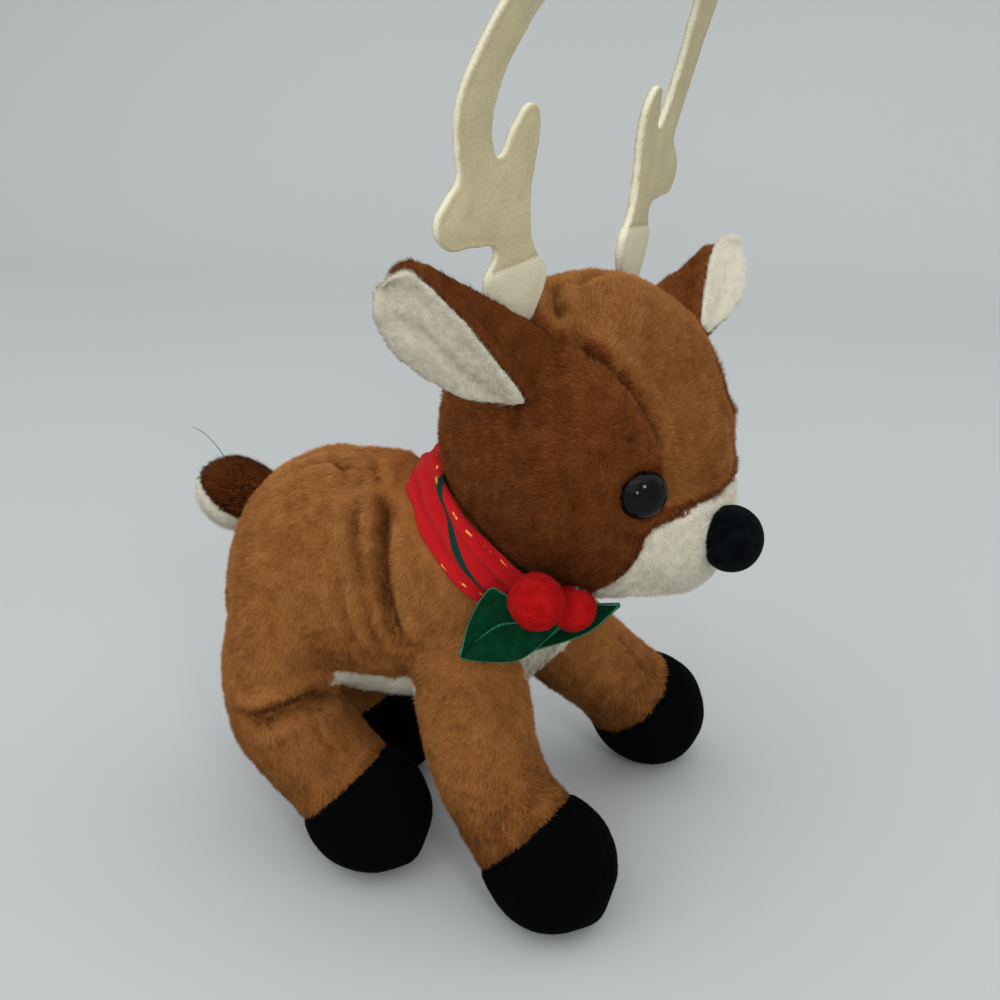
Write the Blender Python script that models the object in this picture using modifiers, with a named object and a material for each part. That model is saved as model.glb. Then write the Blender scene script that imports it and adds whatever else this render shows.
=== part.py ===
"""A standing plush deer with felt antlers, a plaid scarf and a sprig of velvet leaves and pompons.

Lengths are metres. +X is the way the body faces, +Y its left side and +Z up. The toy is built round the
torso's own place, then moved so that the origin lies on the floor under its middle. Every stuffed form is a coarse cage of rings along a path, rounded by
subdivision. Its cloth is the form less a smaller cavity, cut into the panels that are sewn together,
and its filling is the same form smaller still. Hollows and fillings are plain cages through the same
rings. Every piece that swings hangs from an empty on its hinge.
"""

import math

import bmesh
import bpy
from mathutils import Matrix, Vector

# Cloth and fit
plush_thickness = 0.0022
seam_gap = 0.0003
weld_distance = 0.00003
swing_gap = 0.0006
overrun = 0.006
floor_cut = 0.0005
# how far the finished toy moves forward and left to stand over the origin
standing_place = (0.0023, -0.0038)

# Torso
torso_length = 0.1
torso_half_width = 0.032
torso_height = 0.0705
belly_height = 0.0525
belly_panel_half_width = 0.026
body_sides = 8
inner_sides = 10
slim_sides = 8
# how far subdivision pulls an end ring toward the next one
end_pull_share = 2 / 9
# the least that a hollow's ring keeps of its form's ring
least_share = 0.3
# where a ring's first point stands between two sides, so that none falls on the middle plane
first_point_share = 0.25
# along the torso, up from the belly, tilt in degrees, half width, half height
torso_shares = (
    (-0.750, 0.44, -8, 0.30, 0.16),
    (-0.705, 0.45, -6, 0.72, 0.36),
    (-0.590, 0.455, -3, 0.94, 0.49),
    (-0.410, 0.460, 0, 1.0, 0.535),
    (-0.190, 0.465, 9, 1.0, 0.535),
    (0.020, 0.490, 33, 0.97, 0.535),
    (0.085, 0.705, 50, 0.87, 0.40),
    (0.150, 0.825, 50, 0.78, 0.35),
    (0.215, 0.935, 50, 0.60, 0.26),
)
# outline of the cream belly panel, seen from above: along the torso and across
belly_panel_shares = ((-0.66, 0.0), (-0.46, 0.75), (-0.22, 1.0), (0.10, 0.96), (0.34, 0.68), (0.50, 0.45))

# Head, in its own frame: forward, left and up from its middle
head_length = 0.09
head_half_width = 0.041
head_half_height = 0.046
head_turn = -24.0
head_offset = 0.0409
neck_tilt = 50.0
neck_radius = 0.0265
neck_hole_radius = 0.0125
rod_steps = 12
ball_steps = 18
head_seat_steps = 24
neck_station = 6
head_seat_radius = 0.0474
neck_plug_radius = 0.011
neck_plug_depth = 0.004
# forward, up, half width, half height
head_shares = (
    (-0.475, -0.02, 0.26, 0.25),
    (-0.415, -0.02, 0.62, 0.60),
    (-0.275, -0.01, 0.88, 0.87),
    (-0.070, 0.00, 1.00, 1.00),
    (0.115, -0.02, 0.97, 0.97),
    (0.235, -0.08, 0.83, 0.81),
    (0.325, -0.25, 0.63, 0.59),
    (0.395, -0.42, 0.44, 0.38),
    (0.440, -0.46, 0.20, 0.17),
)
muzzle_plane_share = (0.33, 0.0, -0.36)
muzzle_plane_tilt = 38.0
forehead_half_width = 0.021
forehead_back_half_width = 0.013
forehead_reach_share = 0.6
forehead_depth_share = 0.5

# Eyes and nose, on the head
eye_radius = 0.0069
eye_dome_height = 0.0042
eye_seat_share = (0.325, 0.61, -0.04)
eye_yaw = 44.0
eye_pitch = 4.0
eye_recess = 0.001
stalk_radius = 0.0022
stalk_length = 0.011
washer_radius = 0.0048
washer_thickness = 0.0012
nose_radius = 0.0081
nose_seat_share = (0.474, 0.0, -0.43)
turned_steps = 12
dome_steps = 6
nose_steps = 12
# how much of the half circle from the nose's front to its stalk is round
nose_round_share = 0.86

# Ears, on the head
ear_length = 0.043
ear_half_width = 0.013
ear_thickness = 0.0024
ear_lining_thickness = 0.0018
ear_cup = 0.0045
# how far along the ear its lining begins to stop short of its back
lining_start_share = 0.5
cup_start_share = 0.2
cup_length_share = 0.6
ear_lining_share = 0.84
ear_seat_share = (0.030, 0.83, 0.575)
ear_rises = {"right": 35.0, "left": 17.0}
ear_sweeps = {"right": 28.0, "left": -10.0}
ear_roll = 24.0
ear_sink = 0.0012
ear_columns = 6
# along the ear and half width of the leaf shape
ear_outline_shares = (
    (0.0, 0.62), (0.14, 0.84), (0.32, 1.0), (0.52, 0.96), (0.72, 0.76), (0.88, 0.48), (1.0, 0.16),
)

# Antlers, on the head
antler_height = 0.0915
antler_width = 0.034
felt_thickness = 0.0017
stiffener_thickness = 0.0009
stiffener_inset = 0.0028
antler_seat_share = (-0.10, 0.655, 0.70)
antler_sink = 0.001
antler_sweep = 9.0
antler_splay = 7.0
antler_lean = 5.0
antler_curl = 0.012
antler_curl_start_share = 0.45
# outward across the width and up the height, round the outline from the inner foot
antler_outline_shares = (
    (-0.13, 0.045), (-0.31, 0.182), (-0.17, 0.281), (-0.17, 0.406), (-0.225, 0.505), (-0.25, 0.595),
    (-0.16, 0.645), (-0.02, 0.6), (0.13, 0.528), (0.205, 0.568), (0.22, 0.658), (0.16, 0.748),
    (0.02, 0.847), (-0.11, 0.951), (0.03, 1), (0.24, 0.937), (0.42, 0.82), (0.545, 0.694),
    (0.535, 0.577), (0.52, 0.501), (0.62, 0.465), (0.74, 0.406), (0.66, 0.339), (0.42, 0.321),
    (0.19, 0.285), (0.3, 0.209), (0.13, -0.06),
)

# Legs: the hip on the torso, the middle of the hoof on the floor plan
hip_radius = 0.0165
leg_radius = 0.0165
hoof_radius = 0.019
leg_sides = 6
leg_swing = 12.0
leg_names = ("front_right", "front_left", "rear_right", "rear_left")
hip_shares = {
    "front_right": (0.03, -0.62, 0.305),
    "front_left": (0.03, 0.62, 0.305),
    "rear_right": (-0.53, -0.60, 0.36),
    "rear_left": (-0.53, 0.60, 0.36),
}
hoof_places = {
    "front_right": (0.0305, -0.041),
    "front_left": (0.050, 0.044),
    "rear_right": (-0.028, -0.028),
    "rear_left": (-0.037, 0.021),
}
# toward the hoof, down to the hoof, and half width over the leg's radius
front_near_shares = ((0.07, 0.30, 1.0), (0.22, 0.55, 0.97), (0.45, 0.74, 0.93))
front_far_shares = ((0.25, 0.25, 1.0), (0.50, 0.50, 0.97), (0.68, 0.66, 0.93))
rear_shares = ((-0.16, 0.30, 1.0), (-0.04, 0.55, 1.03), (0.30, 0.70, 1.0))
leg_path_shares = {
    "front_right": front_near_shares,
    "front_left": front_far_shares,
    "rear_right": rear_shares,
    "rear_left": rear_shares,
}
# along the hoof from its middle and half width, both over the hoof's radius
hoof_shares = ((-0.60, 0.82), (-0.22, 1.0), (0.30, 0.98), (0.78, 0.70), (1.08, 0.28))
hip_cap_shares = ((-1.0, 0.32), (-0.72, 0.72), (0.0, 1.0))

# Tail
tail_length = 0.0215
tail_half_width = 0.0105
tail_half_height = 0.0118
tail_seat_share = (-0.640, 0.0, 0.745)
tail_rise = 8.0
tail_seat_radius = 0.0128
tail_sides = 6
tail_seam_tilt = 28.0
# along the tail and half size
tail_shares = (
    (-0.22, 0.30), (-0.10, 0.62), (0.16, 0.84), (0.50, 1.0), (0.78, 0.86), (0.98, 0.50), (1.06, 0.20),
)

# Scarf round the neck
scarf_radius = 0.0285
scarf_half_width = 0.0078
scarf_half_thickness = 0.0019
scarf_ripple = 0.0007
scarf_ripple_count = 9
scarf_offset = 0.0415
scarf_stations = 32
scarf_sides = 8

# Sprig at the throat: two leaves and two pompons, set on the scarf
berry_steps = 14
berry_rings = 9
berry_radii = {"outer": 0.0076, "inner": 0.0062}
berry_places = {"outer": (0.0258, -0.0419, 0.1025), "inner": (0.0354, -0.0330, 0.0970)}
leaf_thickness = 0.0011
# a leaf's root, its tip and a place beside its lower edge, which sets its plane and width
leaf_frames = {
    "near": ((0.0230, -0.0385, 0.0940), (0.0059, -0.0445, 0.0849), (0.0216, -0.0420, 0.0845)),
    "far": ((0.0325, -0.0290, 0.0875), (0.0459, -0.0260, 0.0956), (0.0340, -0.0298, 0.0852)),
}
# along the leaf's length and its half width, from the upper edge round the tip to the lower
leaf_outline_shares = (
    (0.0, -0.30), (0.10, -1.20), (0.24, -1.60), (0.62, -1.05),
    (1.0, 0.0), (0.66, 0.62), (0.32, 0.95), (-0.08, 0.70),
)

colours = {
    "caramel": (0.392, 0.175, 0.058),
    "brown": (0.230, 0.075, 0.024),
    "forehead": (0.275, 0.095, 0.030),
    "cream": (0.690, 0.640, 0.520),
    "felt": (0.640, 0.590, 0.410),
    "black": (0.008, 0.009, 0.012),
    "gloss": (0.006, 0.004, 0.004),
    "plastic": (0.750, 0.750, 0.740),
    "filling": (0.850, 0.850, 0.830),
    "red": (0.480, 0.012, 0.014),
    "scarf": (0.420, 0.020, 0.020),
    "green": (0.004, 0.085, 0.034),
}
head_colours = {
    "forehead_panel": "forehead",
    "muzzle_panel": "cream",
    "face_panel_left": "brown",
    "face_panel_right": "brown",
}
roughnesses = {"gloss": 0.08, "plastic": 0.4}
plain_roughness = 0.95


def unit(vector):
    """Same direction, length one."""
    return Vector(vector).normalized()


def turned(degrees, axis):
    """Rotation by an angle about an axis through the origin."""
    return Matrix.Rotation(math.radians(degrees), 4, Vector(axis))


def about(point, rotation):
    """The same rotation, about another point."""
    return Matrix.Translation(point) @ rotation @ Matrix.Translation(-Vector(point))


def fresh_scene():
    """Empties the file and gives the collections for pieces and for cutters."""
    for obj in list(bpy.data.objects):
        bpy.data.objects.remove(obj, do_unlink=True)
    pieces = bpy.data.collections.new("plush_deer")
    cutters = bpy.data.collections.new("cutters")
    bpy.context.scene.collection.children.link(pieces)
    bpy.context.scene.collection.children.link(cutters)
    return pieces, cutters


def material(name):
    """One Principled material for each colour name, made once."""
    found = bpy.data.materials.get(name)
    if found:
        return found
    made = bpy.data.materials.new(name)
    made.use_nodes = True
    shader = made.node_tree.nodes["Principled BSDF"]
    shader.inputs["Base Color"].default_value = (*colours[name], 1.0)
    shader.inputs["Roughness"].default_value = roughnesses.get(name, plain_roughness)
    shader.inputs["Metallic"].default_value = 0.0
    made.diffuse_color = (*colours[name], 1.0)
    return made


def mesh_from(name, build):
    """A mesh filled by a bmesh function, with its faces turned outwards."""
    shape = bmesh.new()
    build(shape)
    bmesh.ops.recalc_face_normals(shape, faces=shape.faces)
    mesh = bpy.data.meshes.new(name)
    shape.to_mesh(mesh)
    shape.free()
    return mesh


def new_object(name, mesh, matrix=None):
    """An object in the pieces' collection."""
    obj = bpy.data.objects.new(name, mesh)
    PIECES.objects.link(obj)
    obj.matrix_world = matrix or Matrix.Identity(4)
    return obj


def as_cutter(obj):
    """Turns an object into a helper that isn't part of the toy."""
    PIECES.objects.unlink(obj)
    CUTTERS.objects.link(obj)
    obj.hide_render = True
    obj.display_type = "WIRE"
    return obj


def add_boolean(obj, other, operation):
    """Cuts, joins or keeps what an object shares with another."""
    modifier = obj.modifiers.new(operation.lower(), "BOOLEAN")
    modifier.operation = operation
    modifier.solver = "EXACT"
    modifier.object = other


def smooth_form(obj):
    """Rounds a cage by one level of subdivision."""
    modifier = obj.modifiers.new("round", "SUBSURF")
    modifier.levels = 1
    modifier.render_levels = 1
    obj.data.shade_smooth()


class Form:
    """A swelling, tapering stuffed form: rings of points along a path.

    Each station holds the ring's middle, the way the path runs there, and the ring's two half sizes.
    """

    def __init__(self, stations, sides, matrix=None):
        self.stations = stations
        self.sides = sides
        self.matrix = matrix or Matrix.Identity(4)

    def grown(self, amount):
        """Stations of a form bigger all round, or smaller where the amount is below zero.

        A ring on a slope moves along the path as well, so that the amount is measured square to the surface.
        """
        last = len(self.stations) - 1
        result = []
        for index, (middle, along, half_width, half_height) in enumerate(self.stations):
            before = self.stations[max(index - 1, 0)]
            after = self.stations[min(index + 1, last)]
            rise = (after[2] + after[3] - before[2] - before[3]) / 2
            slope = rise / (after[0] - before[0]).length
            square = math.hypot(slope, 1.0)
            shift = -amount * slope / square
            if index in (0, last):
                shift = -amount if index == 0 else amount
            wide = max(half_width + amount / square, least_share * half_width)
            high = max(half_height + amount / square, least_share * half_height)
            result.append((middle + along * shift, along, wide, high))
        return result

    def settled(self):
        """The stations where rounding by subdivision leaves the rings."""
        first, second = self.stations[:2]
        beside, last = self.stations[-2:]
        result = [(first[0].lerp(second[0], end_pull_share), *first[1:])]
        for before, here, after in zip(self.stations, self.stations[1:], self.stations[2:]):
            middle, half_width, half_height = (
                (before[key] + 6 * here[key] + after[key]) / 8 for key in (0, 2, 3)
            )
            result.append((middle, here[1], half_width, half_height))
        result.append((last[0].lerp(beside[0], end_pull_share), *last[1:]))
        return result

    def make(self, name, grow=0.0):
        """The form as an object, rounded, and bigger or smaller by an amount."""
        # Subdivision draws a ring of points in by this share of its size.
        kept_share = 2 / 3 + math.cos(2 * math.pi / self.sides) / 3
        obj = self.cage(name, self.grown(grow), self.sides, kept_share)
        smooth_form(obj)
        return obj

    def make_inner(self, name, grow, sides):
        """The form as a plain cage, for a hollow or the filling in it."""
        inner = Form(self.settled(), sides, self.matrix)
        return inner.cage(name, inner.grown(grow), sides, 1.0)

    def cage(self, name, stations, sides, kept_share):
        """Rings of points along stations, joined and closed at both ends."""

        def build(shape):
            rings = []
            for middle, along, half_width, half_height in stations:
                across = unit(Vector((0, 1, 0)) - along * along.y)
                up = across.cross(along) * -1
                ring = []
                for step in range(sides):
                    angle = 2 * math.pi * (step + first_point_share) / sides
                    offset = across * math.cos(angle) * half_width + up * math.sin(angle) * half_height
                    ring.append(shape.verts.new(middle + offset / kept_share))
                rings.append(ring)
            for first, second in zip(rings, rings[1:]):
                for step in range(sides):
                    after = (step + 1) % sides
                    shape.faces.new((first[step], first[after], second[after], second[step]))
            shape.faces.new(rings[0])
            shape.faces.new(rings[-1])

        return new_object(name, mesh_from(name, build), self.matrix)


def path_stations(points, sizes):
    """Stations along points, each running as its neighbours do."""
    result = []
    last = len(points) - 1
    for index, point in enumerate(points):
        along = unit(points[min(index + 1, last)] - points[max(index - 1, 0)])
        result.append((point, along, *sizes[index]))
    return result


def finish(obj, colour):
    """Gives a piece its material."""
    obj.data.materials.clear()
    obj.data.materials.append(material(colour))
    return obj


def rod(name, radius, start, end, steps=rod_steps):
    """A cylinder between two places, as a cutter."""
    start = Vector(start)
    end = Vector(end)
    along = end - start
    matrix = Matrix.Translation((start + end) / 2) @ along.to_track_quat("Z", "Y").to_matrix().to_4x4()

    def build(shape):
        bmesh.ops.create_cone(
            shape, cap_ends=True, segments=steps, radius1=radius, radius2=radius, depth=along.length
        )

    return as_cutter(new_object(name, mesh_from(name, build), matrix))


def half_space(name, point, normal, reach):
    """A big block on the side of a plane that its normal points to, as a cutter."""
    normal = unit(normal)
    facing = normal.to_track_quat("Z", "Y").to_matrix().to_4x4()
    matrix = Matrix.Translation(Vector(point) + normal * reach) @ facing

    def build(shape):
        bmesh.ops.create_cube(shape, size=2 * reach)

    return as_cutter(new_object(name, mesh_from(name, build), matrix))


def prism(name, outline, bottom, top, matrix=None, grow=0.0):
    """A flat outline of (x, y) points raised between two heights, as a cutter."""
    centre = sum((Vector(point) for point in outline), Vector((0, 0))) / len(outline)

    def build(shape):
        flat = []
        for point in outline:
            away = Vector(point) - centre
            place = Vector(point) + away.normalized() * grow
            flat.append(shape.verts.new((place.x, place.y, bottom)))
        face = shape.faces.new(flat)
        raised = bmesh.ops.extrude_face_region(shape, geom=[face])["geom"]
        moved = [item for item in raised if isinstance(item, bmesh.types.BMVert)]
        bmesh.ops.translate(shape, verts=moved, vec=(0, 0, top - bottom))

    return as_cutter(new_object(name, mesh_from(name, build), matrix))


def turned_piece(name, profile, matrix):
    """A turned solid from a profile of (radius, height) points that goes down its outside.

    The profile's ends lie on the axis, or it ends where it began, as a ring's does.
    """
    mesh = bpy.data.meshes.new(name)
    closed = profile[0] == profile[-1]
    points = [(radius, 0.0, height) for radius, height in reversed(profile[closed:])]
    edges = [(index, index + 1) for index in range(len(points) - 1)]
    if closed:
        edges.append((len(points) - 1, 0))
    mesh.from_pydata(points, edges, [])
    obj = new_object(name, mesh, matrix)
    modifier = obj.modifiers.new("turn", "SCREW")
    modifier.steps = turned_steps
    modifier.render_steps = turned_steps
    modifier.use_merge_vertices = True
    modifier.merge_threshold = weld_distance
    modifier.use_normal_calculate = not closed
    modifier.use_normal_flip = closed
    return obj


# Places worked out from the sizes above


def torso_point(x_share, up_share, y_share=0.0):
    """A place on the torso, from shares of its length, width and height."""
    height = belly_height + up_share * torso_height
    return Vector((x_share * torso_length, y_share * torso_half_width, height))


def torso_form():
    """The whole body without its legs, up to the neck."""
    stations = []
    for x_share, up_share, tilt, wide_share, high_share in torso_shares:
        along = Vector((math.cos(math.radians(tilt)), 0, math.sin(math.radians(tilt))))
        size = (wide_share * torso_half_width, high_share * torso_height)
        stations.append((torso_point(x_share, up_share), along, *size))
    return Form(stations, body_sides)


def neck_axis():
    """The way the neck points, up and forward."""
    return Vector((math.cos(math.radians(neck_tilt)), 0, math.sin(math.radians(neck_tilt))))


def neck_middle():
    """The middle of the neck where the head is sewn on."""
    x_share, up_share = torso_shares[neck_station][:2]
    return torso_point(x_share, up_share)


def head_middle():
    """The middle of the head."""
    return neck_middle() + neck_axis() * head_offset


def head_matrix():
    """The head's own frame: forward, left and up."""
    return Matrix.Translation(head_middle()) @ turned(head_turn, (0, 0, 1))


def head_point(share):
    """A place in the head's frame, from shares of its length, half width and half height."""
    return Vector((share[0] * head_length, share[1] * head_half_width, share[2] * head_half_height))


def head_form():
    """The head with its muzzle."""
    stations = []
    for forward, up, wide, high in head_shares:
        middle = head_point((forward, 0, up))
        stations.append((middle, Vector((1, 0, 0)), wide * head_half_width, high * head_half_height))
    return Form(stations, body_sides, head_matrix())


def hip_point(name):
    """The middle of a hip, on its hinge."""
    x_share, y_share, up_share = hip_shares[name]
    return torso_point(x_share, up_share, y_share)


def hoof_middle(name):
    """The middle of a hoof, low enough for the floor to flatten it."""
    return Vector((*hoof_places[name], hoof_radius - floor_cut))


def leg_points(name):
    """The leg's path below the hip, with the ring sizes there."""
    hip = hip_point(name)
    hoof = hoof_middle(name)
    points = []
    sizes = []
    for forward, down, size in leg_path_shares[name]:
        place = Vector((
            hip.x + forward * (hoof.x - hip.x),
            hip.y + down * (hoof.y - hip.y),
            hip.z + down * (hoof.z - hip.z),
        ))
        points.append(place)
        sizes.append((size * leg_radius, size * leg_radius))
    return points, sizes


def toe_direction(name):
    """The way the hoof points."""
    return unit(hoof_middle(name) - leg_points(name)[0][-1])


def leg_form(name):
    """A whole leg from the top of its hip to its toe."""
    hip = hip_point(name)
    hoof = hoof_middle(name)
    points, sizes = leg_points(name)
    upper = unit(points[0] - hip)
    toe = toe_direction(name)
    cap = [hip + upper * share * hip_radius for share, _ in hip_cap_shares]
    cap_sizes = [(share * hip_radius, share * hip_radius) for _, share in hip_cap_shares]
    end = [hoof + toe * share * hoof_radius for share, _ in hoof_shares]
    end_sizes = [(share * hoof_radius, share * hoof_radius) for _, share in hoof_shares]
    return Form(path_stations(cap + points + end, cap_sizes + sizes + end_sizes), leg_sides)


def tail_matrix():
    """The tail's frame: its length along X, rising a little behind the body."""
    seat = torso_point(tail_seat_share[0], tail_seat_share[2])
    return Matrix.Translation(seat) @ turned(180.0 + tail_rise, (0, 1, 0)) @ turned(180.0, (1, 0, 0))


def tail_form():
    """The tail pad from its sewn root to its tip."""
    stations = []
    for along, size in tail_shares:
        stations.append((
            Vector((along * tail_length, 0, 0)),
            Vector((1, 0, 0)),
            size * tail_half_width,
            size * tail_half_height,
        ))
    return Form(stations, tail_sides, tail_matrix())


# The pieces


def make_torso(torso, middle_room, hip_rooms):
    """Two side panels, the cream belly panel and the filling."""
    reach = 2 * torso_length
    cavity = as_cutter(torso.make_inner("torso_cavity", -plush_thickness, inner_sides))
    outline = [(x * torso_length, -y * belly_panel_half_width) for x, y in belly_panel_shares]
    outline += [(x * torso_length, y * belly_panel_half_width) for x, y in reversed(belly_panel_shares[1:])]
    top = neck_middle().z - neck_radius * math.cos(math.radians(neck_tilt))
    panel = prism("belly_outline", outline, 0.0, top)
    wider = prism("belly_outline_wider", outline, -overrun, top + seam_gap, grow=seam_gap)
    for side, name in ((1, "left"), (-1, "right")):
        obj = torso.make(f"body_panel_{name}")
        near = side * seam_gap / 2
        far = side * reach
        corners = [(-reach, near), (reach, near), (reach, far), (-reach, far)]
        keep = prism(f"middle_{name}", corners, -overrun, reach)
        for cutter in (*middle_room, *hip_rooms[name]):
            add_boolean(obj, cutter, "DIFFERENCE")
        add_boolean(obj, keep, "INTERSECT")
        add_boolean(obj, cavity, "DIFFERENCE")
        add_boolean(obj, wider, "DIFFERENCE")
        finish(obj, "caramel")
    belly = torso.make("belly_panel")
    filling = torso.make_inner("body_filling", -plush_thickness - seam_gap, inner_sides)
    for obj in (belly, filling):
        for cutter in (*middle_room, *hip_rooms["left"], *hip_rooms["right"]):
            add_boolean(obj, cutter, "DIFFERENCE")
    add_boolean(belly, cavity, "DIFFERENCE")
    add_boolean(belly, panel, "INTERSECT")
    finish(belly, "cream")
    finish(filling, "filling")


def make_leg(name, form):
    """A leg's cloth, its black hoof and the filling of both."""
    ankle = hoof_middle(name) + toe_direction(name) * hoof_shares[0][0] * hoof_radius
    toe = toe_direction(name)
    reach = 2 * torso_height
    cavity = as_cutter(form.make_inner(f"leg_cavity_{name}", -plush_thickness, slim_sides))
    above = half_space(f"above_ankle_{name}", ankle - toe * seam_gap / 2, -toe, reach)
    below = half_space(f"below_ankle_{name}", ankle + toe * seam_gap / 2, toe, reach)
    floor = half_space(f"floor_{name}", (0, 0, 0), (0, 0, 1), reach)
    leg = form.make(f"leg_{name}")
    hoof = form.make(f"hoof_{name}")
    filling = form.make_inner(f"leg_filling_{name}", -plush_thickness - seam_gap, slim_sides)
    add_boolean(leg, cavity, "DIFFERENCE")
    add_boolean(leg, above, "INTERSECT")
    add_boolean(hoof, cavity, "DIFFERENCE")
    add_boolean(hoof, below, "INTERSECT")
    add_boolean(hoof, floor, "INTERSECT")
    finish(leg, "caramel")
    finish(hoof, "black")
    finish(filling, "filling")


def make_tail(form):
    """The brown top, the cream underside and the filling of the tail."""
    matrix = tail_matrix()
    cavity = as_cutter(form.make_inner("tail_cavity", -plush_thickness, slim_sides))
    tilt = math.radians(tail_seam_tilt)
    for name, side, colour in (("tail_top", 1, "brown"), ("tail_underside", -1, "cream")):
        normal = matrix.to_3x3() @ Vector((-math.sin(tilt), 0, math.cos(tilt))) * side
        point = matrix.translation + matrix.to_3x3() @ Vector((tail_length / 2, 0, 0)) + normal * seam_gap / 2
        obj = form.make(name)
        add_boolean(obj, cavity, "DIFFERENCE")
        add_boolean(obj, half_space(f"{name}_side", point, normal, torso_height), "INTERSECT")
        finish(obj, colour)
    behind = matrix @ Vector((-tail_length, 0, 0))
    root = rod("tail_root_hole", tail_half_width * tail_shares[0][1], behind, matrix.translation)
    for name in ("tail_top", "tail_underside"):
        add_boolean(bpy.data.objects[name], root, "DIFFERENCE")
    finish(form.make_inner("tail_filling", -plush_thickness - seam_gap, slim_sides), "filling")


def eye_matrix(side):
    """An eye's frame: its axis out of the face."""
    place = head_point((eye_seat_share[0], side * eye_seat_share[1], eye_seat_share[2]))
    facing = turned(side * eye_yaw, (0, 0, 1)) @ turned(90.0 - eye_pitch, (0, 1, 0))
    return head_matrix() @ Matrix.Translation(place) @ facing


def nose_matrix():
    """The nose's frame: its axis straight ahead of the muzzle."""
    return head_matrix() @ Matrix.Translation(head_point(nose_seat_share)) @ turned(90.0, (0, 1, 0))


def stalk_profile(foot):
    """The stalk under a button, from its foot up to its end on the axis."""
    return [(stalk_radius, foot), (stalk_radius, -stalk_length), (0.0, -stalk_length)]


def dome_profile(radius, height, base):
    """A dome from its top down to its rim, as an arc of an ellipse."""
    arc = []
    for step in range(dome_steps + 1):
        angle = math.pi / 2 * step / dome_steps
        arc.append((radius * math.sin(angle), base + height * math.cos(angle)))
    return arc


def make_eyes_and_nose():
    """The glossy eyes and the velvety nose on their stalks, each held by a washer."""
    seats = []
    washer_top = -eye_recess - plush_thickness - 2 * seam_gap
    for side, name in ((1, "left"), (-1, "right")):
        matrix = eye_matrix(side)
        profile = dome_profile(eye_radius, eye_dome_height, 0.0)
        profile += [(eye_radius, -eye_recess), *stalk_profile(-eye_recess)]
        finish(turned_piece(f"eye_{name}", profile, matrix), "gloss")
        seats.append((f"eye_{name}", matrix, eye_radius + seam_gap, eye_recess + seam_gap, washer_top))
    arc = []
    for step in range(nose_steps + 1):
        angle = math.pi * nose_round_share * step / nose_steps
        arc.append((nose_radius * math.sin(angle), nose_radius * math.cos(angle)))
    matrix = nose_matrix()
    foot = arc[-1][1]
    end = foot - stalk_length
    profile = arc + [(stalk_radius, foot), (stalk_radius, end), (0.0, end)]
    finish(turned_piece("nose", profile, matrix), "black")
    seats.append(("nose", matrix, nose_radius + seam_gap, -foot + seam_gap, foot + washer_top))
    cloth_cuts = []
    filling_cuts = []
    for name, matrix, seat_radius, seat_depth, top in seats:
        bottom = top - washer_thickness
        hole = stalk_radius + seam_gap
        ring = [(hole, top), (washer_radius, top), (washer_radius, bottom), (hole, bottom), (hole, top)]
        finish(turned_piece(f"{name}_washer", ring, matrix), "plastic")
        high = matrix @ Vector((0, 0, overrun * 2))
        seat = rod(f"{name}_seat", seat_radius, high, matrix @ Vector((0, 0, -seat_depth)), turned_steps)
        bore = rod(f"{name}_bore", hole, high, matrix @ Vector((0, 0, bottom - stalk_length)), turned_steps)
        wide = washer_radius + seam_gap
        below = matrix @ Vector((0, 0, bottom - seam_gap))
        bed = rod(f"{name}_bed", wide, matrix @ Vector((0, 0, top + seam_gap)), below, turned_steps)
        pocket = rod(f"{name}_pocket", wide, high, below, turned_steps)
        cloth_cuts += [seat, bore, bed]
        filling_cuts += [pocket, bore, seat]
    return cloth_cuts, filling_cuts


def make_head(form, roots, plug):
    """The face panels, forehead panel, muzzle and filling."""
    matrix = head_matrix()
    reach = head_length
    cavity = as_cutter(form.make_inner("head_cavity", -plush_thickness, inner_sides))
    cloth_cuts, filling_cuts = make_eyes_and_nose()
    neck_hole = rod("neck_hole", neck_hole_radius, neck_middle() - neck_axis() * neck_radius, head_middle())
    tilt = math.radians(muzzle_plane_tilt)
    ahead = matrix.to_3x3() @ Vector((math.cos(tilt), 0, -math.sin(tilt)))
    seam = matrix @ head_point(muzzle_plane_share)
    muzzle_side = half_space("muzzle_side", seam + ahead * seam_gap / 2, ahead, reach)
    face_side = half_space("face_side", seam - ahead * seam_gap / 2, -ahead, reach)
    front = head_length * forehead_reach_share
    outline = [
        (-front, -forehead_back_half_width), (0.0, -forehead_half_width), (front, -forehead_half_width),
        (front, forehead_half_width), (0.0, forehead_half_width), (-front, forehead_back_half_width),
    ]
    low = -forehead_depth_share * head_half_height
    forehead = prism("forehead_outline", outline, low, reach, matrix)
    wide_outline = [(x, y + math.copysign(seam_gap, y)) for x, y in outline]
    forehead_wider = prism("forehead_wider", wide_outline, low - seam_gap, reach + overrun, matrix)
    shapes = {
        "forehead_panel": ((forehead, "INTERSECT"), (face_side, "INTERSECT")),
        "muzzle_panel": ((muzzle_side, "INTERSECT"),),
    }
    for side, name in ((1, "left"), (-1, "right")):
        across = matrix.to_3x3() @ Vector((0, side, 0))
        keep = half_space(f"face_{name}_side", matrix.translation + across * seam_gap / 2, across, reach)
        shapes[f"face_panel_{name}"] = (
            (keep, "INTERSECT"), (face_side, "INTERSECT"), (forehead_wider, "DIFFERENCE"),
        )
    for name, outline_cuts in shapes.items():
        obj = form.make(name)
        for cutter in (*cloth_cuts, *roots, neck_hole, cavity):
            add_boolean(obj, cutter, "DIFFERENCE")
        for cutter, operation in outline_cuts:
            add_boolean(obj, cutter, operation)
        finish(obj, head_colours[name])
    filling = form.make_inner("head_filling", -plush_thickness - seam_gap, inner_sides)
    add_boolean(filling, plug, "UNION")
    for cutter in (*roots, *filling_cuts):
        add_boolean(filling, cutter, "DIFFERENCE")
    finish(filling, "filling")


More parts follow.
